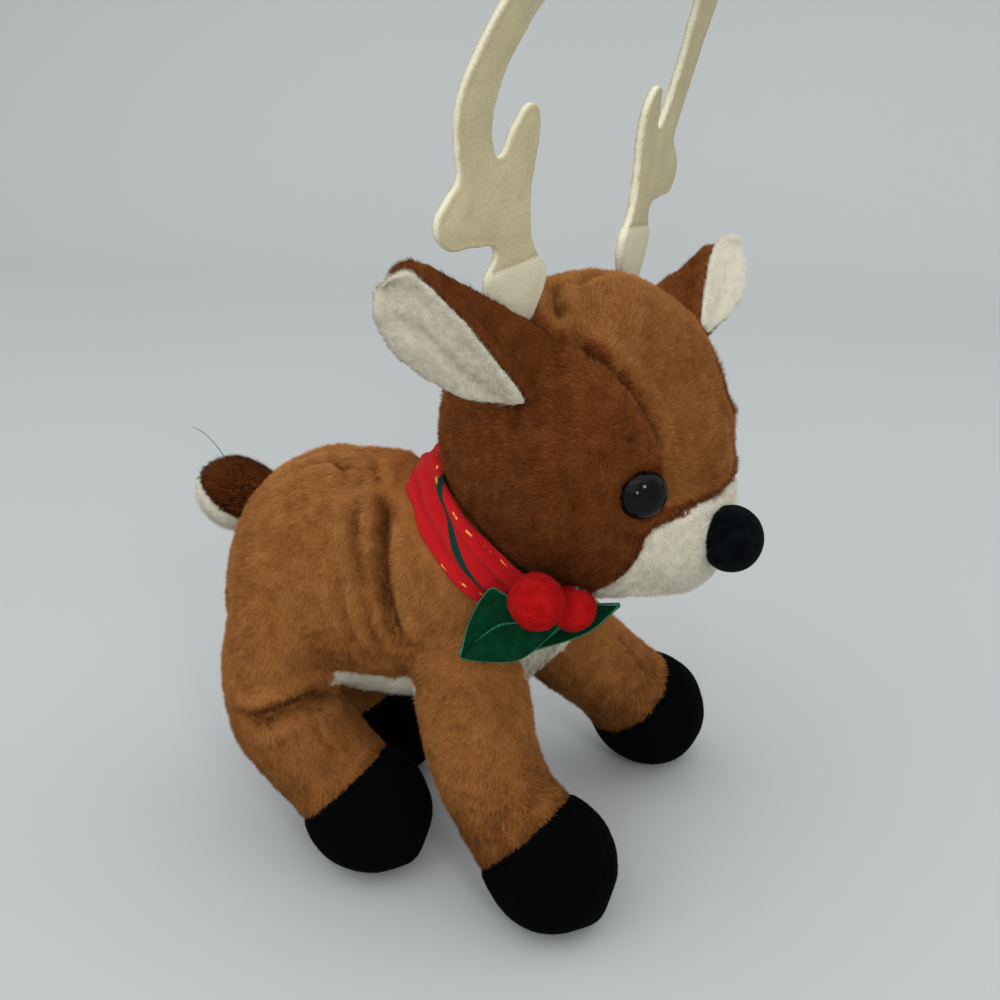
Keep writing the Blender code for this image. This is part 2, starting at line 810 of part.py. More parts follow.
def ear_matrix(side, name):
    """An ear's frame: length along X, width along Y and the open face along Z."""
    seat = head_point((ear_seat_share[0], side * ear_seat_share[1], ear_seat_share[2]))
    sweep = ear_sweeps[name]
    rise = math.radians(ear_rises[name])
    out = Vector((-math.sin(math.radians(sweep)), side * math.cos(math.radians(sweep)), 0))
    along = unit(out * math.cos(rise) + Vector((0, 0, math.sin(rise))))
    ahead = unit(Vector((1, 0, 0)) - along * along.x)
    frame = Matrix((along, along.cross(-ahead), ahead)).transposed().to_4x4()
    roll = turned(side * ear_roll, (1, 0, 0))
    return head_matrix() @ Matrix.Translation(seat) @ frame @ roll @ Matrix.Translation((-ear_sink, 0, 0))


def ear_patch(name, width_share, lift, thickness, matrix):
    """A cupped leaf of cloth, thickened away from its open face."""
    rows = [share for share, _ in ear_outline_shares]
    widths = [share for _, share in ear_outline_shares]

    def build(shape):
        grid = []
        for row, width in zip(rows, widths):
            reach = ear_length * (width_share if row > lining_start_share else 1.0)
            line = []
            for column in range(ear_columns):
                across = 2 * column / (ear_columns - 1) - 1
                bend = math.sin(math.pi * (cup_start_share + cup_length_share * row))
                cup = ear_cup * width * (across**2 - 1) * bend
                line.append(shape.verts.new((
                    row * reach,
                    across * width * ear_half_width * width_share,
                    cup + lift,
                )))
            grid.append(line)
        for first, second in zip(grid, grid[1:]):
            for column in range(ear_columns - 1):
                shape.faces.new((first[column], second[column], second[column + 1], first[column + 1]))

    mesh = mesh_from(name, build)
    obj = new_object(name, mesh, matrix)
    if mesh.polygons[0].normal.z < 0:
        mesh.flip_normals()
    modifier = obj.modifiers.new("thickness", "SOLIDIFY")
    modifier.thickness = thickness
    modifier.offset = -1.0
    mesh.shade_smooth()
    return obj


def make_ears():
    """Both ears and the cutters for their roots."""
    roots = []
    for side, name in ((1, "left"), (-1, "right")):
        matrix = ear_matrix(side, name)
        lining = ear_patch(f"ear_lining_{name}", ear_lining_share, seam_gap, ear_lining_thickness, matrix)
        back = ear_patch(f"ear_back_{name}", 1.0, -ear_lining_thickness, ear_thickness, matrix)
        finish(lining, "cream")
        finish(back, "brown")
        radius = ear_root_depth() / 2 + swing_gap + ear_sink
        roots.append(rod(f"ear_root_{name}", radius, *ear_root(matrix)))
    return roots


def ear_root_depth():
    """How deep an ear is at its foot, from its open face to the back of its cup."""
    cup = ear_cup * ear_outline_shares[0][1] * math.sin(math.pi * cup_start_share)
    return cup + ear_lining_thickness + ear_thickness + seam_gap


def ear_root(matrix):
    """Both ends of the hinge line across an ear's foot."""
    half = ear_outline_shares[0][1] * ear_half_width + swing_gap + ear_sink / 2
    middle = seam_gap - ear_root_depth() / 2
    return [matrix @ Vector((0, sign * half, middle)) for sign in (-1, 1)]


def antler_matrix(side):
    """An antler's frame: forward along X, left along Y and up along Z."""
    share = antler_seat_share
    seat = head_point((share[0], side * share[1], share[2]))
    lean = turned(antler_lean, (0, 1, 0)) @ turned(-side * antler_splay, (1, 0, 0))
    sweep = turned(side * antler_sweep, (0, 0, 1))
    return head_matrix() @ Matrix.Translation(seat) @ sweep @ lean @ Matrix.Translation((0, 0, -antler_sink))


def antler_sheet(name, side, lift, thickness, inset, matrix):
    """One layer of an antler: a smooth closed outline, thickened and curled forward."""
    curve = bpy.data.curves.new(name, "CURVE")
    curve.dimensions = "2D"
    curve.fill_mode = "BOTH"
    curve.extrude = thickness / 2
    curve.resolution_u = 2
    spline = curve.splines.new("BEZIER")
    spline.use_cyclic_u = True
    spline.bezier_points.add(len(antler_outline_shares) - 1)
    for point, (out, up) in zip(spline.bezier_points, antler_outline_shares):
        point.co = (side * out * antler_width, up * antler_height, 0)
        point.handle_left_type = "AUTO"
        point.handle_right_type = "AUTO"
    for index in (0, len(antler_outline_shares) - 1):
        spline.bezier_points[index].handle_left_type = "VECTOR"
        spline.bezier_points[index].handle_right_type = "VECTOR"
    curve.offset = -inset
    upright = matrix @ turned(90.0, (0, 0, 1)) @ turned(90.0, (1, 0, 0))
    flat = new_object(f"{name}_outline", curve, Matrix.Identity(4))
    graph = bpy.context.evaluated_depsgraph_get()
    mesh = bpy.data.meshes.new_from_object(flat.evaluated_get(graph))
    bpy.data.objects.remove(flat)
    shape = bmesh.new()
    shape.from_mesh(mesh)
    bmesh.ops.remove_doubles(shape, verts=shape.verts, dist=weld_distance)
    bmesh.ops.triangulate(shape, faces=shape.faces)
    start = antler_curl_start_share * antler_height
    for vert in shape.verts:
        beyond = max(vert.co.y - start, 0.0) / (antler_height - start)
        vert.co.z += lift + antler_curl * beyond**2
    bmesh.ops.recalc_face_normals(shape, faces=shape.faces)
    shape.to_mesh(mesh)
    shape.free()
    mesh.name = name
    return new_object(name, mesh, upright)


def make_antlers():
    """Both antlers: two felt sheets on a stiffener each."""
    roots = []
    step = (felt_thickness + stiffener_thickness) / 2 + seam_gap
    for side, name in ((1, "left"), (-1, "right")):
        matrix = antler_matrix(side)
        finish(antler_sheet(f"antler_front_{name}", side, step, felt_thickness, 0.0, matrix), "felt")
        finish(antler_sheet(f"antler_back_{name}", side, -step, felt_thickness, 0.0, matrix), "felt")
        core = antler_sheet(
            f"antler_stiffener_{name}", side, 0.0, stiffener_thickness, stiffener_inset, matrix
        )
        finish(core, "filling")
        radius = step + felt_thickness / 2 + swing_gap
        roots.append(rod(f"antler_root_{name}", radius, *antler_root(matrix, side)))
    return roots


def antler_root(matrix, side):
    """Both ends of the hinge line across an antler's foot."""
    ends = []
    for sign, (out, up) in ((-1, antler_outline_shares[0]), (1, antler_outline_shares[-1])):
        across = side * (out * antler_width + sign * antler_sink)
        ends.append(matrix @ Vector((0, across, up * antler_height)))
    return ends


def ball(name, radius, place, steps=ball_steps):
    """A round cutter with its poles to the sides, so that no facet's edge runs along the middle plane."""
    def build(shape):
        rings = 2 * (steps // 3) + 1
        bmesh.ops.create_uvsphere(shape, u_segments=steps, v_segments=rings, radius=radius)

    poles = turned(90.0, (1, 0, 0))
    return as_cutter(new_object(name, mesh_from(name, build), Matrix.Translation(place) @ poles))


def hip_room(name):
    """Cutters that leave a leg its ball seat and the room to swing below it."""
    pivot = hip_point(name)
    size = hip_radius + swing_gap
    seat = ball(f"hip_seat_{name}", size, pivot)
    upper = leg_points(name)[0][0] - pivot
    down = Vector((upper.x, upper.z)).normalized()
    corners = []
    for sign in (-1, 1):
        turn = Matrix.Rotation(math.radians(sign * leg_swing), 2)
        way = turn @ down
        side = Vector((-way.y, way.x)) * sign * size
        pair = [side, side + way * torso_height]
        corners += pair if sign < 0 else reversed(pair)
    outward = -1 if pivot.y > 0 else 1
    ends = sorted((-outward * size, outward * torso_half_width))
    upright = Matrix.Translation(pivot) @ turned(90.0, (1, 0, 0))
    return [seat, prism(f"hip_wedge_{name}", corners, *ends, upright)]


def make_scarf(torso, head_seat):
    """The scarf: a soft band round the neck, gathered in small ripples."""
    middle = head_middle() - neck_axis() * scarf_offset
    axis = neck_axis()
    across = Vector((0, 1, 0))
    up = axis.cross(across)

    def build(shape):
        rings = []
        for station in range(scarf_stations):
            turn = 2 * math.pi * station / scarf_stations
            out = across * math.cos(turn) + up * math.sin(turn)
            ripple = scarf_ripple * math.sin(scarf_ripple_count * turn)
            ring = []
            for side in range(scarf_sides):
                angle = 2 * math.pi * side / scarf_sides
                wide = axis * math.sin(angle) * scarf_half_width
                thick = out * (scarf_radius + ripple + math.cos(angle) * scarf_half_thickness)
                ring.append(shape.verts.new(middle + wide + thick))
            rings.append(ring)
        for station in range(scarf_stations):
            first = rings[station]
            second = rings[(station + 1) % scarf_stations]
            for side in range(scarf_sides):
                after = (side + 1) % scarf_sides
                shape.faces.new((first[side], first[after], second[after], second[side]))

    scarf = new_object("scarf", mesh_from("scarf", build))
    scarf.data.shade_smooth()
    add_boolean(scarf, as_cutter(torso.make("torso_grown", swing_gap)), "DIFFERENCE")
    add_boolean(scarf, head_seat, "DIFFERENCE")
    finish(scarf, "scarf")


def make_berries():
    """The two red pompons."""
    for name, radius in berry_radii.items():
        def build(shape, size=radius):
            bmesh.ops.create_uvsphere(shape, u_segments=berry_steps, v_segments=berry_rings, radius=size)

        berry = new_object(f"pompon_{name}", mesh_from(f"pompon_{name}", build))
        berry.location = berry_places[name]
        berry.data.shade_smooth()
        finish(berry, "red")


def make_leaves():
    """The two velvet leaves: flat outlines set by a root, a tip and a side corner each."""
    for name, corners in leaf_frames.items():
        root, tip, corner = (Vector(place) for place in corners)
        along = tip - root
        width = (corner - root) - along * (corner - root).dot(along) / along.length_squared
        frame = Matrix((unit(along), unit(width), unit(along).cross(unit(width)))).transposed().to_4x4()
        frame.translation = root
        curve = bpy.data.curves.new(f"leaf_{name}", "CURVE")
        curve.dimensions = "2D"
        curve.fill_mode = "BOTH"
        curve.extrude = leaf_thickness / 2
        spline = curve.splines.new("POLY")
        spline.use_cyclic_u = True
        spline.points.add(len(leaf_outline_shares) - 1)
        for point, (x, y) in zip(spline.points, leaf_outline_shares):
            point.co = (x * along.length, y * width.length, 0, 1)
        finish(new_object(f"leaf_{name}", curve, frame), "green")


def hang(hinge, place, names):
    """Parents a moving body's pieces to an empty that stands on its hinge."""
    pivot = new_object(hinge, None, Matrix.Translation(place))
    for name in names:
        piece = bpy.data.objects[name]
        piece.parent = pivot
        piece.matrix_parent_inverse = Matrix.Translation(-place)
    return hinge


def hang_all():
    """Hangs the legs, the tail and the head on the torso, and the ears and antlers on the head."""
    for name in leg_names:
        hang(f"hinge_leg_{name}", hip_point(name), [f"leg_{name}", f"hoof_{name}", f"leg_filling_{name}"])
    hang("hinge_tail", tail_matrix().translation, ["tail_top", "tail_underside", "tail_filling"])
    on_head = [*head_colours, "head_filling"]
    for name in ("eye_left", "eye_right", "nose"):
        on_head += [name, f"{name}_washer"]
    for side, name in ((1, "left"), (-1, "right")):
        start, end = ear_root(ear_matrix(side, name))
        pieces = [f"ear_back_{name}", f"ear_lining_{name}"]
        on_head.append(hang(f"hinge_ear_{name}", (start + end) / 2, pieces))
        start, end = antler_root(antler_matrix(side), side)
        pieces = [f"antler_{layer}_{name}" for layer in ("front", "back", "stiffener")]
        on_head.append(hang(f"hinge_antler_{name}", (start + end) / 2, pieces))
    hang("hinge_head", head_middle(), on_head)


def stand():
    """Moves the finished toy, its hinges and its cutters to where it stands."""
    for obj in (*PIECES.objects, *CUTTERS.objects):
        if obj.parent is None:
            obj.location += Vector((*standing_place, 0))


def main():
    """Builds every piece."""
    torso = torso_form()
    head = head_form()
    tail = tail_form()
    head_seat = ball("head_seat", head_seat_radius, head_middle(), head_seat_steps)
    plug_end = head_middle() - neck_axis() * (head_seat_radius + neck_plug_depth)
    plug = rod("neck_plug", neck_plug_radius, head_middle(), plug_end)
    plug_room = plug_end - neck_axis() * swing_gap
    neck_bore = rod("neck_bore", neck_plug_radius + swing_gap, head_middle(), plug_room)
    tail_seat = ball("tail_seat", tail_seat_radius + swing_gap, tail_matrix().translation)
    hip_rooms = {"left": [], "right": []}
    for name in leg_names:
        form = leg_form(name)
        make_leg(name, form)
        hip_rooms[name.split("_")[1]] += hip_room(name)
    make_torso(torso, (head_seat, neck_bore, tail_seat), hip_rooms)
    make_head(head, make_ears() + make_antlers(), plug)
    make_tail(tail)
    make_scarf(torso, head_seat)
    make_berries()
    make_leaves()
    hang_all()
    stand()


PIECES, CUTTERS = fresh_scene()
main()
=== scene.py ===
"""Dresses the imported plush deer: stuffed skins, cut pile, felt antlers, plaid scarf and a velvet sprig.

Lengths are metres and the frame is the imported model's: +X ahead, +Y the toy's left and +Z up. Places
read off the photograph are given as picture points of a 1000 by 1000 frame, and are carried onto the
skins by rays from the camera.
"""

import logging
import math
from dataclasses import dataclass, field
from enum import Enum
from typing import Any, Callable, Optional, Sequence

import bpy
import numpy as np
from mathutils import Matrix, Vector
from mathutils.bvhtree import BVHTree


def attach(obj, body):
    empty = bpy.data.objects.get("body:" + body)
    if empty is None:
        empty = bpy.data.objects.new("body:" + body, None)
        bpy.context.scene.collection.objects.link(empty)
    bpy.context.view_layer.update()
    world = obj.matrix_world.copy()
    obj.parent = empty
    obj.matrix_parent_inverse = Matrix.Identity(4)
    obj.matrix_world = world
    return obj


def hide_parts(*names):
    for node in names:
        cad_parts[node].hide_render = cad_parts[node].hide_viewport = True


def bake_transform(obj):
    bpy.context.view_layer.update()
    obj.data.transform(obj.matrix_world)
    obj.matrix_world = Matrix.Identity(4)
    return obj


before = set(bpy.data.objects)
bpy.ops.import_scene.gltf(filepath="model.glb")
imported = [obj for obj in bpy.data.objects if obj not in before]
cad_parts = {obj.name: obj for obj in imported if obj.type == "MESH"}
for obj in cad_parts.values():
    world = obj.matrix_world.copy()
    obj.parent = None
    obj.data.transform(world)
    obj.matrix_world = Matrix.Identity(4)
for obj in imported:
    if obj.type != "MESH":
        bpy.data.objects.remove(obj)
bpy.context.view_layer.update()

LOG = logging.getLogger("plush_deer")
Array = np.ndarray
Colour = tuple[float, float, float]
Form = tuple[Array, list[Array]]
Spots = Sequence[tuple[float, float]]
Rows = Sequence[Sequence[float]]
Places = Callable[[Array], Array]
MM = 0.001
STANDING = np.array([2.3, -3.8, 0.0])
PICTURE = 1000
SEED = 20
UV_NAME = "OFBake"
DOWN = np.array([0.0, 0.0, -1.0])
LEFTWARD = np.array([0.0, 1.0, 0.0])
RELAXING = (0.55, -0.57)
FINE_TUFT = 0.4
SWIRL_SIZE = 14.0
CHART_ENDS = (0.02, 0.98)
FLOOR_GAP = 0.02
LEAST_LEAN = 0.3
BURIED = 0.2
FOLD_END = 0.18
LEG_RADIUS = 17.0
MOST_FIBRES = 198000


class Side(Enum):
    """The toy's two sides, with the sign of Y on each."""

    LEFT = 1
    RIGHT = -1

    @property
    def word(self) -> str:
        """The side's name inside node and body names."""
        return self.name.lower()


# Working with arrays


def unit(rows: Array) -> Array:
    """Each row divided by its own length."""
    return rows / np.maximum(np.linalg.norm(rows, axis=-1, keepdims=True), 1e-12)


def through(rows: Array, count: int) -> Array:
    """A smooth line of values through rows.

    Each stretch is the Catmull-Rom cubic of the four rows round it.

    Args:
        rows: one row of values for each station.
        count: how many rows to return.

    Returns:
        count rows, the first and the last as given.
    """
    rows = np.asarray(rows, float)
    last = len(rows) - 1
    place = np.linspace(0.0, last, count)
    index = np.minimum(place.astype(int), last - 1)
    part = (place - index)[:, None]
    before, here = rows[np.maximum(index - 1, 0)], rows[index]
    after, beyond = rows[index + 1], rows[np.minimum(index + 2, last)]
    bend = 2 * before - 5 * here + 4 * after - beyond
    twist = 3 * here - before - 3 * after + beyond
    return 0.5 * (2 * here + (after - before) * part + bend * part**2 + twist * part**3)


def wander(points: Array, size: float, seed: int, width: int = 1) -> Array:
    """Smooth random values over space.

    Random numbers stand on a cubic lattice whose cells have the given size. A point takes a smoothstep
    blend of the eight round it.

    Args:
        points: places, a row each.
        size: the lattice's spacing.
        seed: which random numbers.
        width: how many values a point gets.

    Returns:
        rows of values from -1 to 1.
    """
    cells = 24
    table = np.random.default_rng(SEED + seed).uniform(-1.0, 1.0, (cells, cells, cells, width))
    place = points / size + 1000.0
    low = np.floor(place).astype(int)
    part = place - low
    part = part * part * (3 - 2 * part)
    total = np.zeros((len(points), width))
    for corner in range(8):
        step = np.array([corner & 1, corner >> 1 & 1, corner >> 2 & 1])
        weight = np.prod(np.where(step == 1, part, 1 - part), axis=1)
        at = (low + step) % cells
        total += table[at[:, 0], at[:, 1], at[:, 2]] * weight[:, None]
    return total


def ripple(points: Array, size: float, seed: int) -> Array:
    """One wandering value for each point."""
    return wander(points, size, seed)[:, 0]


def smoothstep(low: float, high: float, values: Array) -> Array:
    """0 below low, 1 above high and an even bend between."""
    part = np.clip((values - low) / (high - low), 0.0, 1.0)
    return part * part * (3 - 2 * part)


def bell(away: Array, width: float, power: int = 2) -> Array:
    """exp(-(away / width)^power), 1 in the middle."""
    return np.exp(-((away / width) ** power))


def placed(points: Array, matrix: Rows) -> Array:
    """Points carried by a 3 by 4 matrix whose last column is in millimetres."""
    matrix = np.asarray(matrix, float)
    return points @ matrix[:, :3].T + matrix[:, 3]


def distance_to_path(points: Array, path: Array) -> tuple[Array, Array]:
    """How near points lie to a broken line.

    Args:
        points: places, a row each.
        path: the line's corners, a row each.

    Returns:
        each point's distance, and how far along the line, 0 to 1, its nearest place is.
    """
    best = np.full(len(points), 1e9)
    along = np.zeros(len(points))
    spans = np.linalg.norm(np.diff(path, axis=0), axis=1)
    starts = np.concatenate([[0.0], np.cumsum(spans)])
    for index, span in enumerate(spans):
        way = path[index + 1] - path[index]
        part = np.clip((points - path[index]) @ way / max(span**2, 1e-12), 0.0, 1.0)
        away = np.linalg.norm(points - path[index] - part[:, None] * way, axis=1)
        nearer = away < best
        best = np.where(nearer, away, best)
        along = np.where(nearer, (starts[index] + part * span) / starts[-1], along)
    return best, along


# Meshes from arrays, all in millimetres until they reach Blender


def mesh_object(
    name: str, points: Array, groups: Sequence[Array], uv: Optional[Array] = None,
) -> bpy.types.Object:
    """An object whose mesh holds the points, scaled from millimetres, and groups of equal-sided faces.

    Args:
        name: the object's name.
        points: places in millimetres.
        groups: arrays of corner indices, one row a face.
        uv: one pair for each point, or None.

    Returns:
        the object, linked to the scene at the origin.
    """
    mesh = bpy.data.meshes.new(name)
    groups = [group for group in groups if len(group)]
    corners = np.concatenate([group.ravel() for group in groups]).astype(np.int32)
    sizes = np.concatenate([np.full(len(group), group.shape[1]) for group in groups])
    mesh.vertices.add(len(points))
    mesh.vertices.foreach_set("co", (points * MM).astype(np.float32).ravel())
    mesh.loops.add(len(corners))
    mesh.loops.foreach_set("vertex_index", corners)
    mesh.polygons.add(len(sizes))
    mesh.polygons.foreach_set("loop_start", np.concatenate([[0], np.cumsum(sizes)[:-1]]).astype(np.int32))
    mesh.update(calc_edges=True)
    if uv is not None:
        layer = mesh.uv_layers.new(name=UV_NAME)
        layer.data.foreach_set("uv", uv[corners].astype(np.float32).ravel())
    mesh.shade_smooth()
    obj = bpy.data.objects.new(name, mesh)
    bpy.context.scene.collection.objects.link(obj)
    return obj


def read_mesh(obj: bpy.types.Object) -> tuple[Array, Array]:
    """An object's shape with its modifiers.

    Args:
        obj: the object.

    Returns:
        its points in millimetres, and its faces, as squares where all are squares and else as triangles.
    """
    shown = obj.evaluated_get(bpy.context.evaluated_depsgraph_get())
    mesh = shown.to_mesh()
    points = np.empty(len(mesh.vertices) * 3, np.float32)
    mesh.vertices.foreach_get("co", points)
    sizes = np.empty(len(mesh.polygons), np.int32)
    mesh.polygons.foreach_get("loop_total", sizes)
    if len(set(sizes.tolist())) == 1:
        corners = np.empty(len(mesh.loops), np.int32)
        mesh.loops.foreach_get("vertex_index", corners)
        faces = corners.reshape(-1, sizes[0])
    else:
        mesh.calc_loop_triangles()
        corners = np.empty(len(mesh.loop_triangles) * 3, np.int32)
        mesh.loop_triangles.foreach_get("vertices", corners)
        faces = corners.reshape(-1, 3)
    shown.to_mesh_clear()
    return points.reshape(-1, 3).astype(float) / MM, faces


def remove(obj: bpy.types.Object) -> None:
    """Deletes a helper object."""
    bpy.data.objects.remove(obj, do_unlink=True)


def tube_faces(rings: int, sides: int) -> list[Array]:
    """Squares between rings of points, and triangles to a pole at each end.

    Args:
        rings: how many rings; their points come first, then the first pole and the last.
        sides: how many points a ring has.

    Returns:
        the squares and the triangles.
    """
    ring, side = np.meshgrid(np.arange(rings - 1), np.arange(sides), indexing="ij")
    here = (ring * sides + side).ravel()
    beside = (ring * sides + (side + 1) % sides).ravel()
    squares = np.stack([here, beside, beside + sides, here + sides], 1)
    side = np.arange(sides)
    after = (side + 1) % sides
    first, last = rings * sides, rings * sides + 1
    top = (rings - 1) * sides
    start = np.stack([np.full(sides, first), after, side], 1)
    end = np.stack([np.full(sides, last), top + side, top + after], 1)
    return [squares, np.concatenate([start, end])]


def grid_faces(rows: int, columns: int, closed: bool = False) -> Array:
    """Squares of a grid of points.

    Args:
        rows: how many rows; their points follow each other.
        columns: how many points a row has.
        closed: whether the last row joins the first.

    Returns:
        four corners a row.
    """
    row, column = np.meshgrid(np.arange(rows if closed else rows - 1), np.arange(columns - 1), indexing="ij")
    here = (row * columns + column).ravel()
    after = ((row + 1) % rows * columns + column).ravel()
    return np.stack([here, after, after + 1, here + 1], 1)


def tube(rings: Array) -> Form:
    """Rings of points, closed at both ends to the mean of the end ring.

    Args:
        rings: the rings' points, by ring, place and axis.

    Returns:
        points and faces.
    """
    count, sides, _ = rings.shape
    poles = np.stack([rings[0].mean(0), rings[-1].mean(0)])
    return np.concatenate([rings.reshape(-1, 3), poles]), tube_faces(count, sides)


def loft(stations: Array, count: int, sides: int, tilts: Optional[Sequence[float]] = None) -> Form:
    """A stuffed form: ellipses carried along a smooth path.

    A point is middle + across * cos(angle) * half width + up * sin(angle) * half height, where across
    lies as near to +Y as the path allows.

    Args:
        stations: rows of middle (3), half width and half height.
        count: how many rings to make.
        sides: how many points a ring has.
        tilts: the path's rise in degrees at each station, in the XZ plane, or None to follow the path.

    Returns:
        points and faces.
    """
    rows = np.asarray(stations, float)
    if tilts is not None:
        angle = np.radians(np.asarray(tilts, float))
        ways = np.stack([np.cos(angle), 0 * angle, np.sin(angle)], 1)
    else:
        ways = unit(np.gradient(rows[:, :3], axis=0))
    fine = through(np.concatenate([rows, ways], axis=1), count)
    middle, size, along = fine[:, :3], fine[:, 3:5], unit(fine[:, 5:])
    across = unit(LEFTWARD - along * along[:, 1:2])
    up = np.cross(along, across)
    angle = np.linspace(0.0, 2 * np.pi, sides, endpoint=False)
    rings = (
        middle[:, None]
        + across[:, None] * (np.cos(angle)[None, :, None] * size[:, None, :1])
        + up[:, None] * (np.sin(angle)[None, :, None] * size[:, None, 1:])
    )
    return tube(rings)


@dataclass
class Camera:
    """The photograph's camera: its place, aim and focal length in picture points."""

    place: Sequence[float] = (75.8, -315.3, 250.0)
    azimuth: float = 12.0
    pitch: float = 23.5
    focal: float = 1200.0
    clip: tuple[float, float] = (0.01, 20.0)

    def axes(self) -> tuple[Array, Array, Array]:
        """The camera's own ways.

        Returns:
            to the right, up and ahead.
        """
        turn, dip = math.radians(self.azimuth), math.radians(self.pitch)
        right = np.array([math.cos(turn), math.sin(turn), 0.0])
        flat = np.array([-math.sin(turn), math.cos(turn), 0.0])
        ahead = flat * math.cos(dip) - np.array([0.0, 0.0, math.sin(dip)])
        return right, np.cross(right, ahead), ahead

    def rays(self, spots: Array) -> Array:
        """Ways through picture points.

        Args:
            spots: picture points, a row each.

        Returns:
            a way for each.
        """
        right, up, ahead = self.axes()
        middle = PICTURE / 2
        spots = np.asarray(spots, float)
        aside = (spots[:, :1] - middle) / self.focal
        drop = (spots[:, 1:] - middle) / self.focal
        return unit(ahead + aside * right - drop * up)

    def build(self) -> None:
        """Makes the camera and sets it as the scene's."""
        data = bpy.data.cameras.new("camera")
        data.lens = data.sensor_width * self.focal / PICTURE
        data.clip_start, data.clip_end = self.clip
        obj = bpy.data.objects.new("camera", data)
        right, up, ahead = self.axes()
        turn = Matrix([[right[k], up[k], -ahead[k]] for k in range(3)]).to_4x4()
        obj.matrix_world = Matrix.Translation(Vector(self.place) * MM) @ turn
        bpy.context.scene.collection.objects.link(obj)
        bpy.context.scene.camera = obj


CAMERA = Camera()


@dataclass
class Fold:
    """A groove or fold in a skin, drawn in the picture.

    Attributes:
        spots: picture points along it.
        width: half width in millimetres.
        depth: how deep its floor is.
        lift: how far the cloth rises beside it.
        mirrored: whether the other side has it too.
    """

    spots: Spots
    width: float
    depth: float
    lift: float = 0.0
    mirrored: bool = True


@dataclass
class Swell:
    """A rounded rise or hollow of a skin round a picture point."""

    spot: tuple[float, float]
    radius: float
    lift: float
    mirrored: bool = True


